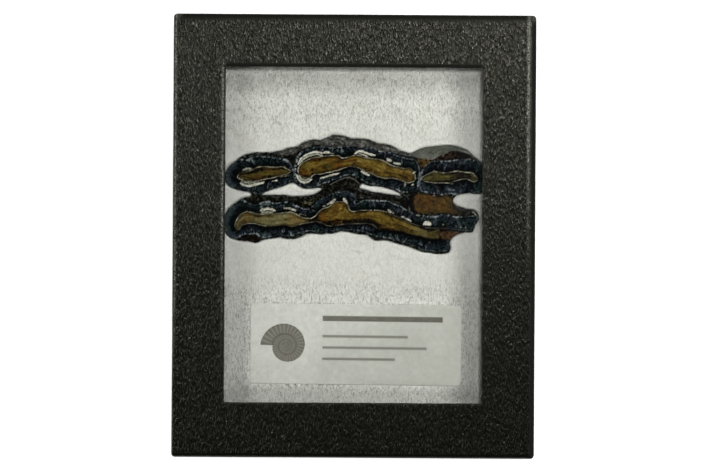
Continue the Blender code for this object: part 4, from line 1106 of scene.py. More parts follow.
def lid_profile():
    """Rings of the lid's section, from under the window over the face and down to the lower rim.

    Each has its share of the way out from the window to the sides, how far it stands outside that rectangle
    (None on the face), its height, which way it faces, outwards and up, and how deep its grain is.
    """
    top, low = LID_HIGH[2], LID_LOW[2]
    under = top - LID_TOP
    rings = [(0.0, 0.0, under, (-1, 0), 0.3), (0.0, 0.0, top - LID_LIP, (-1, 0), 0.5)]
    for turn in np.linspace(0, math.pi / 2, LID_ROUND_RINGS):
        out, up = math.cos(turn), math.sin(turn)
        rings.append((0.0, WINDOW_EDGE_ROUNDING * (1 - out), top - WINDOW_EDGE_ROUNDING * (1 - up),
                      (-out, up), 0.6))
    for share in np.linspace(0, 1, LID_FACE_RINGS + 2)[1:-1]:
        rings.append((share, None, top, (0, 1), 1.0))
    for turn in np.linspace(math.pi / 2, 0, LID_ROUND_RINGS):
        out, up = math.cos(turn), math.sin(turn)
        rings.append((1.0, -LID_EDGE_ROUNDING * (1 - out), top - LID_EDGE_ROUNDING * (1 - up), (out, up), 0.7))
    for height in np.linspace(top - LID_EDGE_ROUNDING, low + LID_RIM, LID_SIDE_RINGS + 1)[1:]:
        rings.append((1.0, 0.0, height, (1, 0), 1.0))
    rings += [(1.0, -LID_RIM, low, (0.7, -0.7), 0.0), (1.0, LID_RIM - LID_WALL, low, (-0.7, -0.7), 0.0),
              (1.0, -LID_WALL, low + LID_RIM, (-1, 0), 0.0), (1.0, -LID_WALL, under, (-1, 0), 0.0)]
    return rings


def lid_ring(share, outset):
    """Points round one ring of the lid: of its window, of its sides, or of the face between them."""
    left, bottom, right, top = WINDOW
    low_x, low_y, high_x, high_y = LID_LOW[0], LID_LOW[1], LID_HIGH[0], LID_HIGH[1]
    if outset is None:
        lip, fold = WINDOW_EDGE_ROUNDING, LID_EDGE_ROUNDING
        inner = (left - lip, right + lip, bottom - lip, top + lip)
        outer = (low_x + fold, high_x - fold, low_y + fold, high_y - fold)
        edges = [p + (q - p) * share for p, q in zip(inner, outer)]
        radius = FACE_INNER_RADIUS + (LID_CORNER_RADIUS - fold - FACE_INNER_RADIUS) * share
    elif share == 0.0:
        edges = (left - outset, right + outset, bottom - outset, top + outset)
        radius = WINDOW_RADIUS + outset
    else:
        edges = (low_x - outset, high_x + outset, low_y - outset, high_y + outset)
        radius = max(LID_CORNER_RADIUS + outset, LEAST_RADIUS)
    return box_ring(*edges, radius, *LID_AROUND)


def lid_points(profile):
    """The lid's vertices, ring after ring, with its grain, waves, flaps and rolled edges worked in."""
    outward = lid_ring(1.0, 0.0)
    facing = np.roll(outward, -1, 0) - np.roll(outward, 1, 0)
    facing = np.stack([facing[:, 1], -facing[:, 0]], 1) / np.hypot(*facing.T)[:, None]
    points, normals, grain = [], [], []
    for share, outset, height, direction, depth in profile:
        ring = lid_ring(share, outset)
        points.append(np.column_stack([ring, np.full(len(ring), height)]))
        normals.append(np.column_stack([facing * direction[0], np.full(len(ring), direction[1])]))
        grain.append(np.full(len(ring), depth))
    points, normals, grain = np.vstack(points), np.vstack(normals), np.concatenate(grain)
    sunk = (1 - pebbles(points, LEATHER_PEBBLE, 7)) * LEATHER_DEPTH
    sunk += LID_WAVE * fractal(points[:, 0] / 17 + points[:, 2] / 9, points[:, 1] / 17, 31, 2)
    sunk += flap_step(points)
    points = points - normals * (sunk * grain)[:, None]
    points[:, 2] -= fold_drop(points)
    return points


def build_lid(material):
    """The lid: leatherette drawn over the board, down its sides and in round the window."""
    across, along = LID_AROUND
    count, around = len(lid_profile()), 2 * (across + along)
    points = lid_points(lid_profile())
    lid = Builder()
    lid.add_points(points)
    # baked as four strips, one for each side, with the section's length up each strip
    step = np.linalg.norm(np.diff(points.reshape(count, around, 3)[:, across // 2], axis=0), axis=1)
    depth = np.concatenate([[0], np.cumsum(step)])
    depth = 0.01 + 0.98 * depth / depth[-1]
    faces, rows, columns = grid_faces(count, around, wrap=True)
    starts = np.array([0, across, across + along, 2 * across + along, around])
    side = np.searchsorted(starts, columns[:, :1], side="right") - 1
    share = (columns - starts[side]) / (starts[side + 1] - starts[side])
    lid.add_faces(faces[:, ::-1], np.stack([share, (side + depth[rows]) / 4], 2)[:, ::-1])
    first = np.arange(around)
    after = np.roll(first, -1)
    last = (count - 1) * around
    closing = np.stack([last + first, last + after, after, first], 1)
    lid.add_faces(closing, np.tile([0.5, 0.002], (closing.size, 1)))
    piece = lid.build("case_lid_leatherette", material)
    for name, measure in (("worn_and_lit", wear_and_highlight), ("rubbed_and_lit", rubbed_and_lit), ("crushed", crushed), ("stretched", stretched)):
        point_attribute(piece, name, measure(points))
    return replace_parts(piece, "case_lid")


def flap_step(points):
    """How far the short sides lie behind the flaps of wrapping that are folded round onto them."""
    short_side = smoothstep(LID_HIGH[1] - 1.0, LID_HIGH[1] - 0.4, np.abs(points[:, 1]))
    slant = FLAP_REACH + FLAP_SLANT * (points[:, 2] - LID_HIGH[2])
    flap = smoothstep(-0.15, 0.15, np.abs(points[:, 0]) - (LID_HIGH[0] - slant))
    below = smoothstep(LID_HIGH[2] - 0.7, LID_HIGH[2] - 1.2, points[:, 2])
    return FLAP_THICKNESS * short_side * (1 - flap) * below


def wear_and_highlight(points):
    """Painted highlight and wear at each place: the window's left edge, the left side's edge, the right fold
    and the corners.
    """
    x, y, z = points.T
    left, bottom, _, top = WINDOW
    blotch = 0.25 + 1.1 * fractal(x / 1.6, y / 2.2, 91)
    # each mark brighter towards the top, where the light falls: painted highlight
    upper = smoothstep(-45.0, -5.0, y)
    on_top = smoothstep(LID_HIGH[2] - 2.2, LID_HIGH[2] - 0.6, z)
    at_window = smoothstep(0.35, 0.1, np.abs(x - (left - 0.95))) * (y > bottom) * (y < top)
    at_window = at_window * (0.5 + 0.45 * smoothstep(-20.0, 15.0, y))
    at_side = WEAR_AND_HIGHLIGHT_SIDE * smoothstep(0.42, 0.1, np.abs(x - LID_LOW[0] - 0.9))
    at_fold = WEAR_AND_HIGHLIGHT_FOLD * smoothstep(0.6, 0.1, np.abs(x - LID_HIGH[0] + FOLD_RIGHT - 0.4))
    at_fold = at_fold * smoothstep(-20.0, 50.0, y)
    at_corner = WEAR_AND_HIGHLIGHT_CORNER * smoothstep(3.5, 0.5, np.hypot(LID_HIGH[0] - np.abs(x), LID_HIGH[1] - np.abs(y)))
    return np.clip(upper * (at_window + (at_side + at_fold + at_corner) * on_top) * blotch, 0, 1)


def rubbed_and_lit(points):
    """Polish on the grain's crests, painted paler as wear and highlight: all over the face, but not its rims
    or the sides.
    """
    x, _, z = points.T
    face = smoothstep(-0.2, 0.6, x - LID_LOW[0]) * (1 - stretched(points))
    return face * smoothstep(LID_HIGH[2] - 2.5, LID_HIGH[2] - 1.0, z)


def crushed(points):
    """Where the wrapping is matt: along the lid's top and right edges and over the window's upper lip."""
    x, y, _ = points.T
    left, _, right, top = WINDOW
    lip = smoothstep(1.3, 0.8, y - top) * (y > top - 1) * (x > left) * (x < right)
    right_edge, top_edge = smoothstep(1.9, 1.1, LID_HIGH[0] - x), smoothstep(2.9, 0.9, LID_HIGH[1] - y)
    return np.maximum(np.maximum(lip, right_edge), top_edge)


def stretched(points):
    """Where the wrapping is drawn flat over the board's edges, its grain nearly gone."""
    y, z = points[:, 1], points[:, 2]
    rim = np.maximum(crushed(points), smoothstep(1.8, 0.8, y - LID_LOW[1]))
    return rim * smoothstep(LID_HIGH[2] - 3.0, LID_HIGH[2] - 1.6, z)


def fold_drop(points):
    """How far the lid's top has rolled down towards its sides, where the board is crushed."""
    x, y, z = points.T
    drop = np.zeros(len(x))
    for gap, reach, depth in ((LID_HIGH[0] - x, FOLD_RIGHT, FOLD_RIGHT_DROP),
                              (x - LID_LOW[0], FOLD_LEFT, FOLD_LEFT_DROP),
                              (LID_HIGH[1] - y, FOLD_LONG, FOLD_LONG_DROP),
                              (y - LID_LOW[1], FOLD_LONG, FOLD_LONG_DROP)):
        t = np.clip(1 - gap / reach, 0, 1)
        drop = np.maximum(drop, depth * (1 - np.sqrt(1 - t * t)))
    return drop * np.clip((z - LID_HIGH[2] + FOLD_BELOW) / FOLD_BELOW, 0, 1)


# ------------------------------------------------------------------ batting

def pad_surface(x, y, to_rock, to_film):
    """Height of the batting's top: crowned, fibrous, and swelling up round the slice and the label."""
    pad_low, pad_high = node_box("batting_pad")
    drop = 0
    for wall in (x - pad_low[0], pad_high[0] - x, y - pad_low[1], pad_high[1] - y):
        drop = drop + np.clip(1 - wall / PAD_SWELL_REACH, 0, 1) ** PAD_SWELL_POWER
    height = PAD_CREST - PAD_EDGE_DROP * np.minimum(1, drop)
    left, _, right, window_top = WINDOW
    inside_window = np.minimum(np.minimum(x - left, right - x), window_top - y)
    height = height + PAD_WINDOW_RISE * smoothstep(PAD_WINDOW_REACH, 0.5, inside_window)
    sway_x, sway_y = [1.5 * noise2(x / 3, y / 3, seed) for seed in (201, 207)]
    wisps = fractal(x / 1.1 + sway_x, y / 1.1 + sway_y, 211, 3)
    tufts = noise2(x / 6.0, y / 6.0, 223)
    height = height - PAD_WISP * (1 - wisps) - PAD_TUFT * (1 - tufts)
    collar = node_box("tooth_slice")[1][2] - PAD_COLLAR - 0.5 * PAD_WISP * (1 - wisps)
    height = height + (collar - height) * smoothstep(PAD_COLLAR_REACH, 0.0, to_rock)
    collar = node_box("specimen_label")[1][2] - FILM_COLLAR - 0.3 * PAD_WISP * (1 - wisps)
    return height + (collar - height) * smoothstep(FILM_COLLAR_REACH, 0.0, to_film)


def painted_edge_shade(x, y):
    """Painted shade: how much darker the batting is painted towards the window's edges, where the lid's shade
    falls.
    """
    right = (0.40 + 0.14 * smoothstep(0, -40, y)) * smoothstep(27, 37, x) * smoothstep(40.8, 38.6, x)
    left = (0.2 + 0.05 * smoothstep(0, -30, y)) * smoothstep(-28, -38, x)
    top = 0.3 * smoothstep(42, 50, y) * smoothstep(53.2, 50.5, y)
    bottom = 0.15 * smoothstep(-46, -50, y)
    return 1 - (1 - right) * (1 - left) * (1 - top) * (1 - bottom)


def strand_shade_strength(y):
    """How strongly painted shade shows between the batting's loose strands: most above the slice and round the
    label.
    """
    return 0.4 + 0.6 * np.maximum(smoothstep(24, 40, y), smoothstep(-10, -20, y))


def nearest_points(loops, x, y):
    """The closest place on any of the outlines to each place."""
    best, feet = np.full(len(x), np.inf), np.zeros((len(x), 2))
    for loop in loops:
        start, end = loop, np.roll(loop, -1, 0)
        along = end - start
        for first in range(0, len(x), BLOCK):
            p = np.column_stack([x, y])[first:first + BLOCK]
            t = ((p[:, None] - start) * along).sum(2) / (along ** 2).sum(1)
            foot = start + np.clip(t, 0, 1)[..., None] * along
            gap = np.hypot(*(p[:, None] - foot).transpose(2, 0, 1))
            k = gap.argmin(1)
            r = np.arange(len(p))
            better = gap[r, k] < best[first:first + BLOCK]
            best[first:first + BLOCK][better] = gap[r, k][better]
            feet[first:first + BLOCK][better] = foot[r, k][better]
    return feet


def snapped(loops, x, y):
    """Moves the places beside an outline close up to it; gives all the distances from it and which moved."""
    measure = outline_measure(loops, x, y)
    close = np.abs(measure) < PAD_SNAP * PAD_CELL
    feet = nearest_points(loops, x[close], y[close])
    away = np.column_stack([x[close], y[close]]) - feet
    away = away / np.maximum(np.hypot(*away.T), 1e-6)[:, None] * np.sign(measure[close])[:, None]
    x[close], y[close] = (feet + away * PAD_ROCK_GAP).T
    return np.where(close, PAD_ROCK_GAP, measure), close


def build_pad(material, rock, film):
    """The batting: a soft crowned sheet with a bed pressed into it for the slice and one for the label."""
    low, high = node_box("batting_pad")
    columns, rows = [int(span / PAD_CELL) + 1 for span in (high - low)[:2]]
    gx, gy = np.linspace(low[0], high[0], columns), np.linspace(low[1], high[1], rows)
    x, y = [v.ravel() for v in np.meshgrid(gx, gy)]
    # so that the batting closes on the slice and the label in one clean line
    to_rock, at_rock = snapped(rock, x, y)
    to_film, at_film = snapped(film, x, y)
    top = pad_surface(x, y, np.maximum(to_rock, 0), np.maximum(to_film, 0))
    top = top - PAD_TUCK * at_rock - FILM_TUCK * at_film
    top = np.where(to_rock < 0, node_box("tooth_slice")[0][2] - PAD_BELOW, top)
    top = np.where(to_film < 0, node_box("specimen_label")[0][2] - PAD_BELOW, top)
    up = PAD_BAKE_FOOT + (1 - PAD_BAKE_FOOT) * (y - low[1]) / (high[1] - low[1])
    flat = np.stack([(x - low[0]) / (high[0] - low[0]), up], 1)
    pad = Builder()
    pad.add_sheet(np.column_stack([x, y, top]), rows, columns, flat)
    rim = grid_rim(rows, columns)
    count = len(rim)
    base = pad.add_points(np.column_stack([x[rim] * PAD_BASE_SHARE, y[rim] * PAD_BASE_SHARE,
                                           np.full(count, low[2])]))
    foot = base + np.arange(count)
    pad.add_walls(rim, foot, np.arange(count) / count, 0.05, 0.01)
    pad.add_fan(foot, ((low[0] + high[0]) / 2, (low[1] + high[1]) / 2, low[2]), (0.5, 0.005))
    piece = pad.build("batting_sheet", material)
    # painted shade towards the window's edges
    point_attribute(piece, "edge_shade", np.concatenate([painted_edge_shade(x, y), np.zeros(count + 1)]))
    # how much painted shade lies between the strands
    point_attribute(piece, "shade_between_strands", np.concatenate([strand_shade_strength(y), np.full(count + 1, 0.5)]))
    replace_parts(piece, "batting_pad")
    return piece


def strands(rock, film):
    """Middle lines of the loose strands, each a curl that keeps off the slice and the label.

    Gives their places and headings, a row for each strand, and their distances from the slice and the label,
    with the generator that drew them.
    """
    rng = np.random.default_rng(41)
    left, bottom, right, top = WINDOW
    n, s = FIBRE_COUNT, FIBRE_STEPS
    start = np.column_stack([rng.uniform(left - FIBRE_SPREAD, right + FIBRE_SPREAD, n),
                             rng.uniform(bottom - FIBRE_SPREAD, top + FIBRE_SPREAD, n)])
    heading = rng.uniform(0, 2 * math.pi, n)
    curl = rng.normal(0, FIBRE_BEND, (n, 1)) + rng.normal(0, FIBRE_KINK, (n, s))
    turn = heading[:, None] + np.cumsum(curl, 1)
    stride = rng.uniform(*FIBRE_STRIDE, n)[:, None]
    x = start[:, :1] + np.cumsum(np.cos(turn) * stride, 1)
    y = start[:, 1:] + np.cumsum(np.sin(turn) * stride, 1)
    to_rock = outline_measure(rock, x.ravel(), y.ravel()).reshape(n, s)
    to_film = outline_measure(film, x.ravel(), y.ravel()).reshape(n, s)
    keep = (to_rock.min(1) > FIBRE_FROM_ROCK) & (to_film.min(1) > FIBRE_FROM_FILM)
    return x[keep], y[keep], turn[keep], to_rock[keep], to_film[keep], rng


def build_fibres(material, rock, film):
    """Loose strands curling over the batting wherever it shows, each a thin closed tube."""
    x, y, turn, to_rock, to_film, rng = strands(rock, film)
    n, s = x.shape
    t = np.linspace(0, 1, s)
    arch = rng.uniform(*FIBRE_ARCH, (n, 1)) * np.sin(math.pi * t) + rng.uniform(*FIBRE_SINK, (n, 1))
    z = pad_surface(x.ravel(), y.ravel(), to_rock.ravel(), to_film.ravel()).reshape(n, s) + arch
    z = np.minimum(z, node_box("glass_pane")[0][2] - FIBRE_UNDER_GLASS)
    radius = rng.uniform(*FIBRE_RADIUS, (n, 1)) * np.sin(math.pi * (0.12 + 0.76 * t))
    centre = np.stack([x, y, z], 2)
    across = np.stack([-np.sin(turn), np.cos(turn), np.zeros_like(turn)], 2)
    tube = []
    for k in range(FIBRE_SIDES):
        angle = math.pi / 2 + 2 * math.pi * k / FIBRE_SIDES
        lift = np.array([0, 0, math.sin(angle)])
        tube.append(centre + radius[..., None] * (across * math.cos(angle) + lift))
    points = np.stack(tube, 2).reshape(-1, 3)               # fibre, step, corner
    first = (np.arange(n) * s * FIBRE_SIDES)[:, None, None]
    quads = grid_faces(s, FIBRE_SIDES, wrap=True)[0][:, [0, 3, 2, 1]]
    quads = (first + quads[None]).reshape(-1, 4)
    last = (s - 1) * FIBRE_SIDES
    ends = (first + np.array([[2, 1, 0], [last, last + 1, last + 2]])[None]).reshape(-1, 3)
    left, bottom, right, top = WINDOW
    flat = np.stack([(points[:, 0] - left) / (right - left), (points[:, 1] - bottom) / (top - bottom)], 1)
    flat = np.clip(flat, 0, 1)
    fibres = Builder()
    fibres.add_points(points)
    fibres.add_faces(quads, flat[quads])
    fibres.add_faces(ends, flat[ends])
    piece = fibres.build("batting_fibres", material)
    # the same painted shade towards the window's edges
    point_attribute(piece, "edge_shade", painted_edge_shade(points[:, 0], points[:, 1]))
    return piece


# ------------------------------------------------------------------ label

def paint_label(u, v):
    """The film's print: a plain ammonite and a few bars standing for words, on pale green-grey."""
    drift = fractal(u / 9, v / 9, 301)
    colour = ramp(0.25 + 0.5 * drift - 0.012 * u + 0.008 * v, "film")
    ink = np.zeros(len(u))
    for middle, length, height in LABEL_BARS:
        outside = np.maximum(np.abs(u - LABEL_BARS_FROM - length / 2) - length / 2,
                             np.abs(v - middle) - height / 2)
        bar = smoothstep(PRINT_SOFTNESS, -PRINT_SOFTNESS, outside)
        ink = np.maximum(ink, bar * (1.0 if height > 1 else LABEL_THIN_INK))
    coil, within = paint_ammonite(u, v)
    return mixed(colour, LABEL_INK, ink) * (1 - within)[:, None] + coil * within[:, None]


def paint_ammonite(u, v):
    """An ammonite's colours and where it lies: a coil that widens at each turn, its ribs leaning back."""
    cx, cy, size = AMMONITE
    dx, dy = u - cx, v - cy
    r, a = np.hypot(dx, dy), np.arctan2(dy, dx)
    turns = np.log(np.maximum(r, 0.05) / size) / math.log(AMMONITE_GROWTH) - a / (2 * math.pi)
    across = turns - np.floor(turns)
    outside = r - size * AMMONITE_GROWTH ** (a / (2 * math.pi))
    within = smoothstep(COIL_SOFTNESS, -COIL_SOFTNESS, outside)
    ribs = 0.5 + 0.5 * np.sin(AMMONITE_RIBS * a + 2.2 * across)
    seam = bump_at(0.0, 0.12, np.minimum(across, 1 - across))
    return ramp(0.25 + 0.45 * ribs * smoothstep(0.05, 0.3, across) - 0.35 * seam, "ammonite"), within


def rounded_corners(u, v, half):
    """The places of a rectangle's grid, those in its corners drawn in to round them off."""
    into = np.stack([np.abs(u) - (half[0] - LABEL_CORNER), np.abs(v) - (half[1] - LABEL_CORNER)])
    corner = (into > 0).all(0)
    pull = np.where(corner, into.max(0) / np.maximum(np.hypot(*into), 1e-6), 1.0)
    return (np.where(corner, np.sign(u) * (half[0] - LABEL_CORNER + into[0] * pull), u),
            np.where(corner, np.sign(v) * (half[1] - LABEL_CORNER + into[1] * pull), v))


def build_label(material):
    """The label: a rounded sheet of film, finely divided so that its print is part of its surface."""
    low, high = node_box("specimen_label")
    centre = (low[:2] + high[:2]) / 2
    half = np.array(LABEL_SIZE) / 2
    columns, rows = [int(size / LABEL_CELL) + 1 for size in LABEL_SIZE]
    u, v = [c.ravel() for c in np.meshgrid(np.linspace(-half[0], half[0], columns),
                                           np.linspace(-half[1], half[1], rows))]
    u, v = rounded_corners(u, v, half)
    cosine, sine = math.cos(LABEL_TILT), math.sin(LABEL_TILT)
    place = np.column_stack([u, v]) @ np.array([[cosine, sine], [-sine, cosine]]) + centre
    edge = np.minimum(half[0] - np.abs(u), half[1] - np.abs(v))
    top = high[2] - LABEL_EDGE_DROP * smoothstep(0.3, 0.0, edge) - LABEL_WAVE * fractal(u / 5, v / 5, 311)
    flat = np.stack([0.5 + u / LABEL_SIZE[0], 0.55 + 0.9 * v / LABEL_SIZE[1]], 1)
    label = Builder()
    label.add_sheet(np.column_stack([place, top]), rows, columns, flat)
    rim = grid_rim(rows, columns)
    base = label.add_points(np.column_stack([place[rim], np.full(len(rim), low[2])]))
    foot = base + np.arange(len(rim))
    label.add_walls(rim, foot, np.full(len(rim), 0.5), 0.04, 0.04)
    label.add_fan(foot, (*centre, low[2]), (0.5, 0.02))
    piece = label.build("label_film", material)
    blank = np.tile(LABEL_BLANK, (label.count - len(u), 1))
    point_attribute(piece, "print", linear(np.vstack([paint_label(u, v), blank])))
    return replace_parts(piece, "specimen_label")


# ------------------------------------------------------------------ slice

def face_height(x, y, edge, top):
    """Height of the slice's upper face: sawn level and polished, but falling away over the weathered back."""
    rounded = FACE_ROUNDING ** 2 - np.clip(FACE_ROUNDING - edge, 0, None) ** 2
    drop = FACE_ROUNDING - np.sqrt(np.maximum(rounded, 0))
    past = np.maximum(y - np.interp(x, *np.transpose(CRUST_LINE), left=0, right=0), 0)
    past = past * (x > CRUST_LINE[0][0]) * (x < CRUST_LINE[-1][0])
    rough = smoothstep(0.0, 0.8, past) * smoothstep(19.0, 17.0, x)
    lumps = fractal((x * 0.35 + y) * 1.5, (x - y * 0.35) * 0.6, 63) - 0.5
    pits = fractal(x * 1.3, y * 1.3, 401) - 0.55
    return top - drop - CRUST_SLOPE * past + rough * (CRUST_LUMPS * lumps) + FACE_PITS * np.minimum(pits, 0)


def inward_from(loop, reach):
    """Unit vectors in from an outline's points, square to the line between the neighbours this many along."""
    ahead = np.roll(loop, -reach, 0) - np.roll(loop, reach, 0)
    return np.stack([-ahead[:, 1], ahead[:, 0]], 1) / np.maximum(np.hypot(*ahead.T), 1e-9)[:, None]


def ragged(loop):
    """The outline with small chips out of it, deeper along the weathered back."""
    x, y = loop.T
    past = smoothstep(0.0, 1.0, y - np.interp(x, *np.transpose(CRUST_LINE), left=99, right=99))
    chips = fractal(x * 1.6, y * 1.6, 451, 2)
    depth = (CHIP_DEPTH + CHIP_BACK_DEPTH * past) * smoothstep(0.38, 0.66, chips)
    depth = depth * smoothstep(19.0, 17.0, np.where(past > 0, x, 0))
    return loop + inward_from(loop, CHIP_REACH) * depth[:, None]


def sides_of(ring):
    """The sides of a closed ring of vertex numbers."""
    return list(zip(ring.tolist(), np.roll(ring, -1).tolist()))


def triangulated(points, loops, keep):
    """Triangles, facing up, between closed loops of sides, where keep() says yes to their middles."""
    edges = [pair for loop in loops for pair in loop]
    used = sorted({k for pair in edges for k in pair})
    number = {k: i for i, k in enumerate(used)}
    verts = [Vector(points[k][:2]) for k in used]
    found = geometry.delaunay_2d_cdt(verts, [(number[a], number[b]) for a, b in edges], [], 0, 1e-7)
    places, _, faces, origin = found[:4]
    flat = points[used][:, :2]
    own = [who[0] if who else int(np.hypot(*(flat - place[:]).T).argmin())
           for who, place in zip(origin, places)]
    triangles = np.array([[used[own[v]] for v in face] for face in faces])
    triangles = triangles[(triangles != np.roll(triangles, 1, 1)).all(1)]
    middle = points[triangles][:, :, :2].mean(1)
    triangles = triangles[keep(middle[:, 0], middle[:, 1])]
    a, b, c = (points[triangles[:, k], :2] for k in range(3))
    turn = (b[:, 0] - a[:, 0]) * (c[:, 1] - a[:, 1]) - (b[:, 1] - a[:, 1]) * (c[:, 0] - a[:, 0])
    return np.where((turn > 0)[:, None], triangles, triangles[:, ::-1])


def face_grid(loops, low, high):
    """The square cells that lie whole inside the outlines.

    Gives which cells of the grid they are, their corners' places and distances in from the outlines, and the
    cells as quads of those corners.
    """
    nx, ny = [int(span / SLICE_CELL) + 2 for span in (high - low)[:2]]
    gx, gy = low[0] + np.arange(nx) * SLICE_CELL, low[1] + np.arange(ny) * SLICE_CELL
    x, y = [v.ravel() for v in np.meshgrid(gx, gy)]
    measure = outline_measure(loops, x, y)
    solid = (measure < -FACE_MARGIN * SLICE_CELL).reshape(ny, nx)
    full = solid[:-1, :-1] & solid[1:, :-1] & solid[:-1, 1:] & solid[1:, 1:]
    cells = np.argwhere(full)
    corner = cells[:, 0] * nx + cells[:, 1]
    quads = np.stack([corner, corner + 1, corner + nx + 1, corner + nx], 1)
    used = np.unique(quads)
    number = np.full(nx * ny, -1)
    number[used] = np.arange(len(used))
    return full, np.column_stack([x[used], y[used]]), -measure[used], number[quads]


def outer_sides(quads, count):
    """The sides that only one of the quads has, where their corners are numbered up to this count."""
    sides = np.concatenate([quads[:, [a, b]] for a, b in ((0, 1), (1, 2), (2, 3), (3, 0))])
    key = np.sort(sides, 1)
    _, index, uses = np.unique(key[:, 0] * (count + 1) + key[:, 1], return_index=True, return_counts=True)
    return [tuple(pair) for pair in sides[index[uses == 1]].tolist()]


def add_face(stone, loops, low, high):
    """The upper face: square cells and a band of triangles out to its outlines.

    Gives its points, their distances in from the outlines, and the ring of vertices along each outline.
    """
    full, inner, depths, quads = face_grid(loops, low, high)
    rings, first = [], len(inner)
    for loop in loops:
        rings.append(first + np.arange(len(loop)))
        first += len(loop)
    places = np.vstack([inner, *loops])
    edge = np.concatenate([depths, np.zeros(first - len(inner))])

    def in_band(px, py):
        column = np.floor((px - low[0]) / SLICE_CELL).astype(int).clip(0, full.shape[1] - 1)
        row = np.floor((py - low[1]) / SLICE_CELL).astype(int).clip(0, full.shape[0] - 1)
        return (outline_measure(loops, px, py) < 0) & ~full[row, column]

    band = triangulated(places, [*map(sides_of, rings), outer_sides(quads, len(inner))], in_band)
    points = np.column_stack([places, face_height(places[:, 0], places[:, 1], edge, high[2])])
    stone.add_points(points)
    flat = (places - low[:2]) / (high[:2] - low[:2]) * (1, 1 - FACE_BAKE_FOOT) + (0, FACE_BAKE_FOOT)
    stone.add_faces(quads, flat[quads])
    stone.add_faces(band, flat[band])
    return points, edge, rings


def add_side(stone, loop, ring, z, colour, low, high):
    """The rough side down from one outline, level by level: its lowest ring and the colours of its points.

    z and colour are those of the ring that it starts from.
    """
    inward = inward_from(loop, 1)
    travel = np.arange(len(loop)) * SLICE_CELL
    levels = len(WALL_LEVELS)
    colours, upper = [], ring
    for level, depth in enumerate(WALL_LEVELS):
        height = np.minimum(z - WALL_STEP * (level + 1), high[2] - depth)
        if level + 1 == levels:
            height = np.full(len(loop), low[2])
        wander = fractal(loop[:, 0] * 0.8 + depth, loop[:, 1] * 0.8, 431) * 1.1 - 0.2
        inset = np.clip(WALL_WANDER * wander, 0, None) * smoothstep(1.2, 3.4, depth)
        base = stone.add_points(np.column_stack([loop + inward * inset[:, None], height]))
        lower = base + np.arange(len(loop))
        above, below = [WALL_BAKE_TOP - WALL_BAKE_HEIGHT * (n / levels) for n in (level, level + 1)]
        stone.add_walls(upper, lower, travel / travel[-1], above, below)
        sawn = ramp(fractal(travel * 0.5, np.full(len(loop), depth * 2.3), 441), "sawn side")
        fade = smoothstep(0.0, WALL_FADE, depth)
        colours.append(colour * (1 - fade) + sawn * fade)
        upper = lower
    return upper, np.vstack(colours)


def build_slice(material, rock):
    """The slice: a fine painted face, rough sides down from its outline and a level underside."""
    low, high = node_box("tooth_slice")
    loops = [ragged(resampled(loop, SLICE_CELL)) for loop in rock]
    stone = Builder()
    points, edge, rings = add_face(stone, loops, low, high)
    colour, rough = paint(points[:, 0], points[:, 1], edge)
    colours, hems = [colour], []
    for loop, ring in zip(loops, rings):
        hem, side_colours = add_side(stone, loop, ring, points[ring, 2], colour[ring], low, high)
        hems.append(hem)
        colours.append(side_colours)
    points = np.vstack(stone.points)
    outlines = [points[hem][:, :2] for hem in hems]
    under = triangulated(points, [sides_of(hem) for hem in hems],
                         lambda px, py: outline_measure(outlines, px, py) < 0)[:, ::-1]
    stone.add_faces(under, np.tile([0.5, 0.005], (under.size, 1)))
    piece = stone.build("tooth_slice_polished", material)
    point_attribute(piece, "stone", linear(np.vstack(colours)))
    point_attribute(piece, "matt", np.concatenate([rough, np.full(stone.count - len(rough), WALL_ROUGH)]))
    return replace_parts(piece, "tooth_slice")


# ------------------------------------------------------------------ the scene

def dress_node(name, material):
    """Gives a carried-over CAD node its material."""
    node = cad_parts[name]
    node.data.materials.clear()
    node.data.materials.append(material)
    return node


def soft_light(name, place, size, power):
    """A white square softbox at a place, in metres, facing the case."""
    lamp = bpy.data.lights.new(name, "AREA")
    lamp.shape, lamp.size, lamp.energy = "SQUARE", size, power
    light = bpy.data.objects.new(name, lamp)
    light.location = place
    light.rotation_euler = (Vector(LAMP_AIM) - Vector(place)).to_track_quat("-Z", "Y").to_euler()
    bpy.context.scene.collection.objects.link(light)


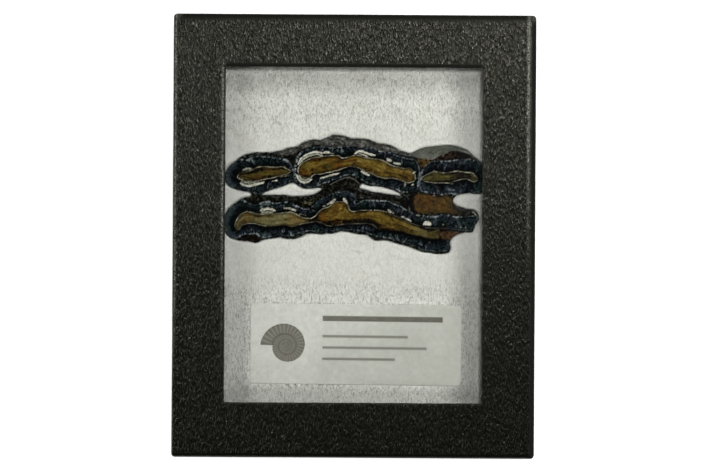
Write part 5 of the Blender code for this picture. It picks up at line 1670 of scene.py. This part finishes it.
def build_stage():
    """A level white floor under the case, a faint white room and the softboxes."""
    floor = bpy.data.meshes.new("floor")
    work = bmesh.new()
    bmesh.ops.create_grid(work, x_segments=8, y_segments=8, size=FLOOR_REACH)
    work.to_mesh(floor)
    work.free()
    floor.materials.append(floor_material())
    sweep = bpy.data.objects.new("floor", floor)
    bpy.context.scene.collection.objects.link(sweep)
    world = bpy.context.scene.world or bpy.data.worlds.new("room")
    bpy.context.scene.world = world
    world.use_nodes = True
    background = world.node_tree.nodes["Background"]
    background.inputs["Color"].default_value = (1.0, 1.0, 1.0, 1.0)
    background.inputs["Strength"].default_value = ROOM_LEVEL
    for name, place, size, power in SOFTBOXES:
        soft_light(name, place, size, power)


def place_camera():
    """Straight above with a long lens, and turned by the little that the case lies askew in the photo."""
    lens = bpy.data.cameras.new("camera")
    camera = bpy.data.objects.new("camera", lens)
    bpy.context.scene.collection.objects.link(camera)
    lens.sensor_width = SENSOR
    lens.lens = SENSOR * CAMERA_ABOVE * PHOTO_SCALE / MM / PHOTO_SIZE[0]
    turn = math.radians(DISPLAY_ASKEW)
    off_x = (PHOTO_SIZE[0] / 2 - DISPLAY_PIXEL[0]) / PHOTO_SCALE * MM
    off_y = (DISPLAY_PIXEL[1] - PHOTO_SIZE[1] / 2) / PHOTO_SCALE * MM
    camera.location = (off_x * math.cos(turn) - off_y * math.sin(turn),
                       off_x * math.sin(turn) + off_y * math.cos(turn), LID_HIGH[2] * MM + CAMERA_ABOVE)
    camera.rotation_euler = (0, 0, turn)
    lens.clip_end = 30.0
    bpy.context.scene.camera = camera


rock_outlines = section_loops("tooth_slice", node_box("tooth_slice")[1][2] - SECTION_DEPTH)
film_outlines = section_loops("specimen_label", sum(node_box("specimen_label"))[2] / 2)
window = section_loops("case_lid", LID_HIGH[2] - LIP_DEPTH)[1]
WINDOW = (*window.min(0), *window.max(0))  # left, bottom, right and top

build_lid(leatherette_material())
dress_node("case_tray", board_material())
pane = dress_node("glass_pane", glass_material())
pane.visible_shadow = False
batting = batting_material()
build_pad(batting, rock_outlines, film_outlines)
build_fibres(batting, rock_outlines, film_outlines)
build_label(label_material())
build_slice(fossil_material(), rock_outlines)

build_stage()
place_camera()
bpy.context.scene.view_settings.view_transform = "Standard"
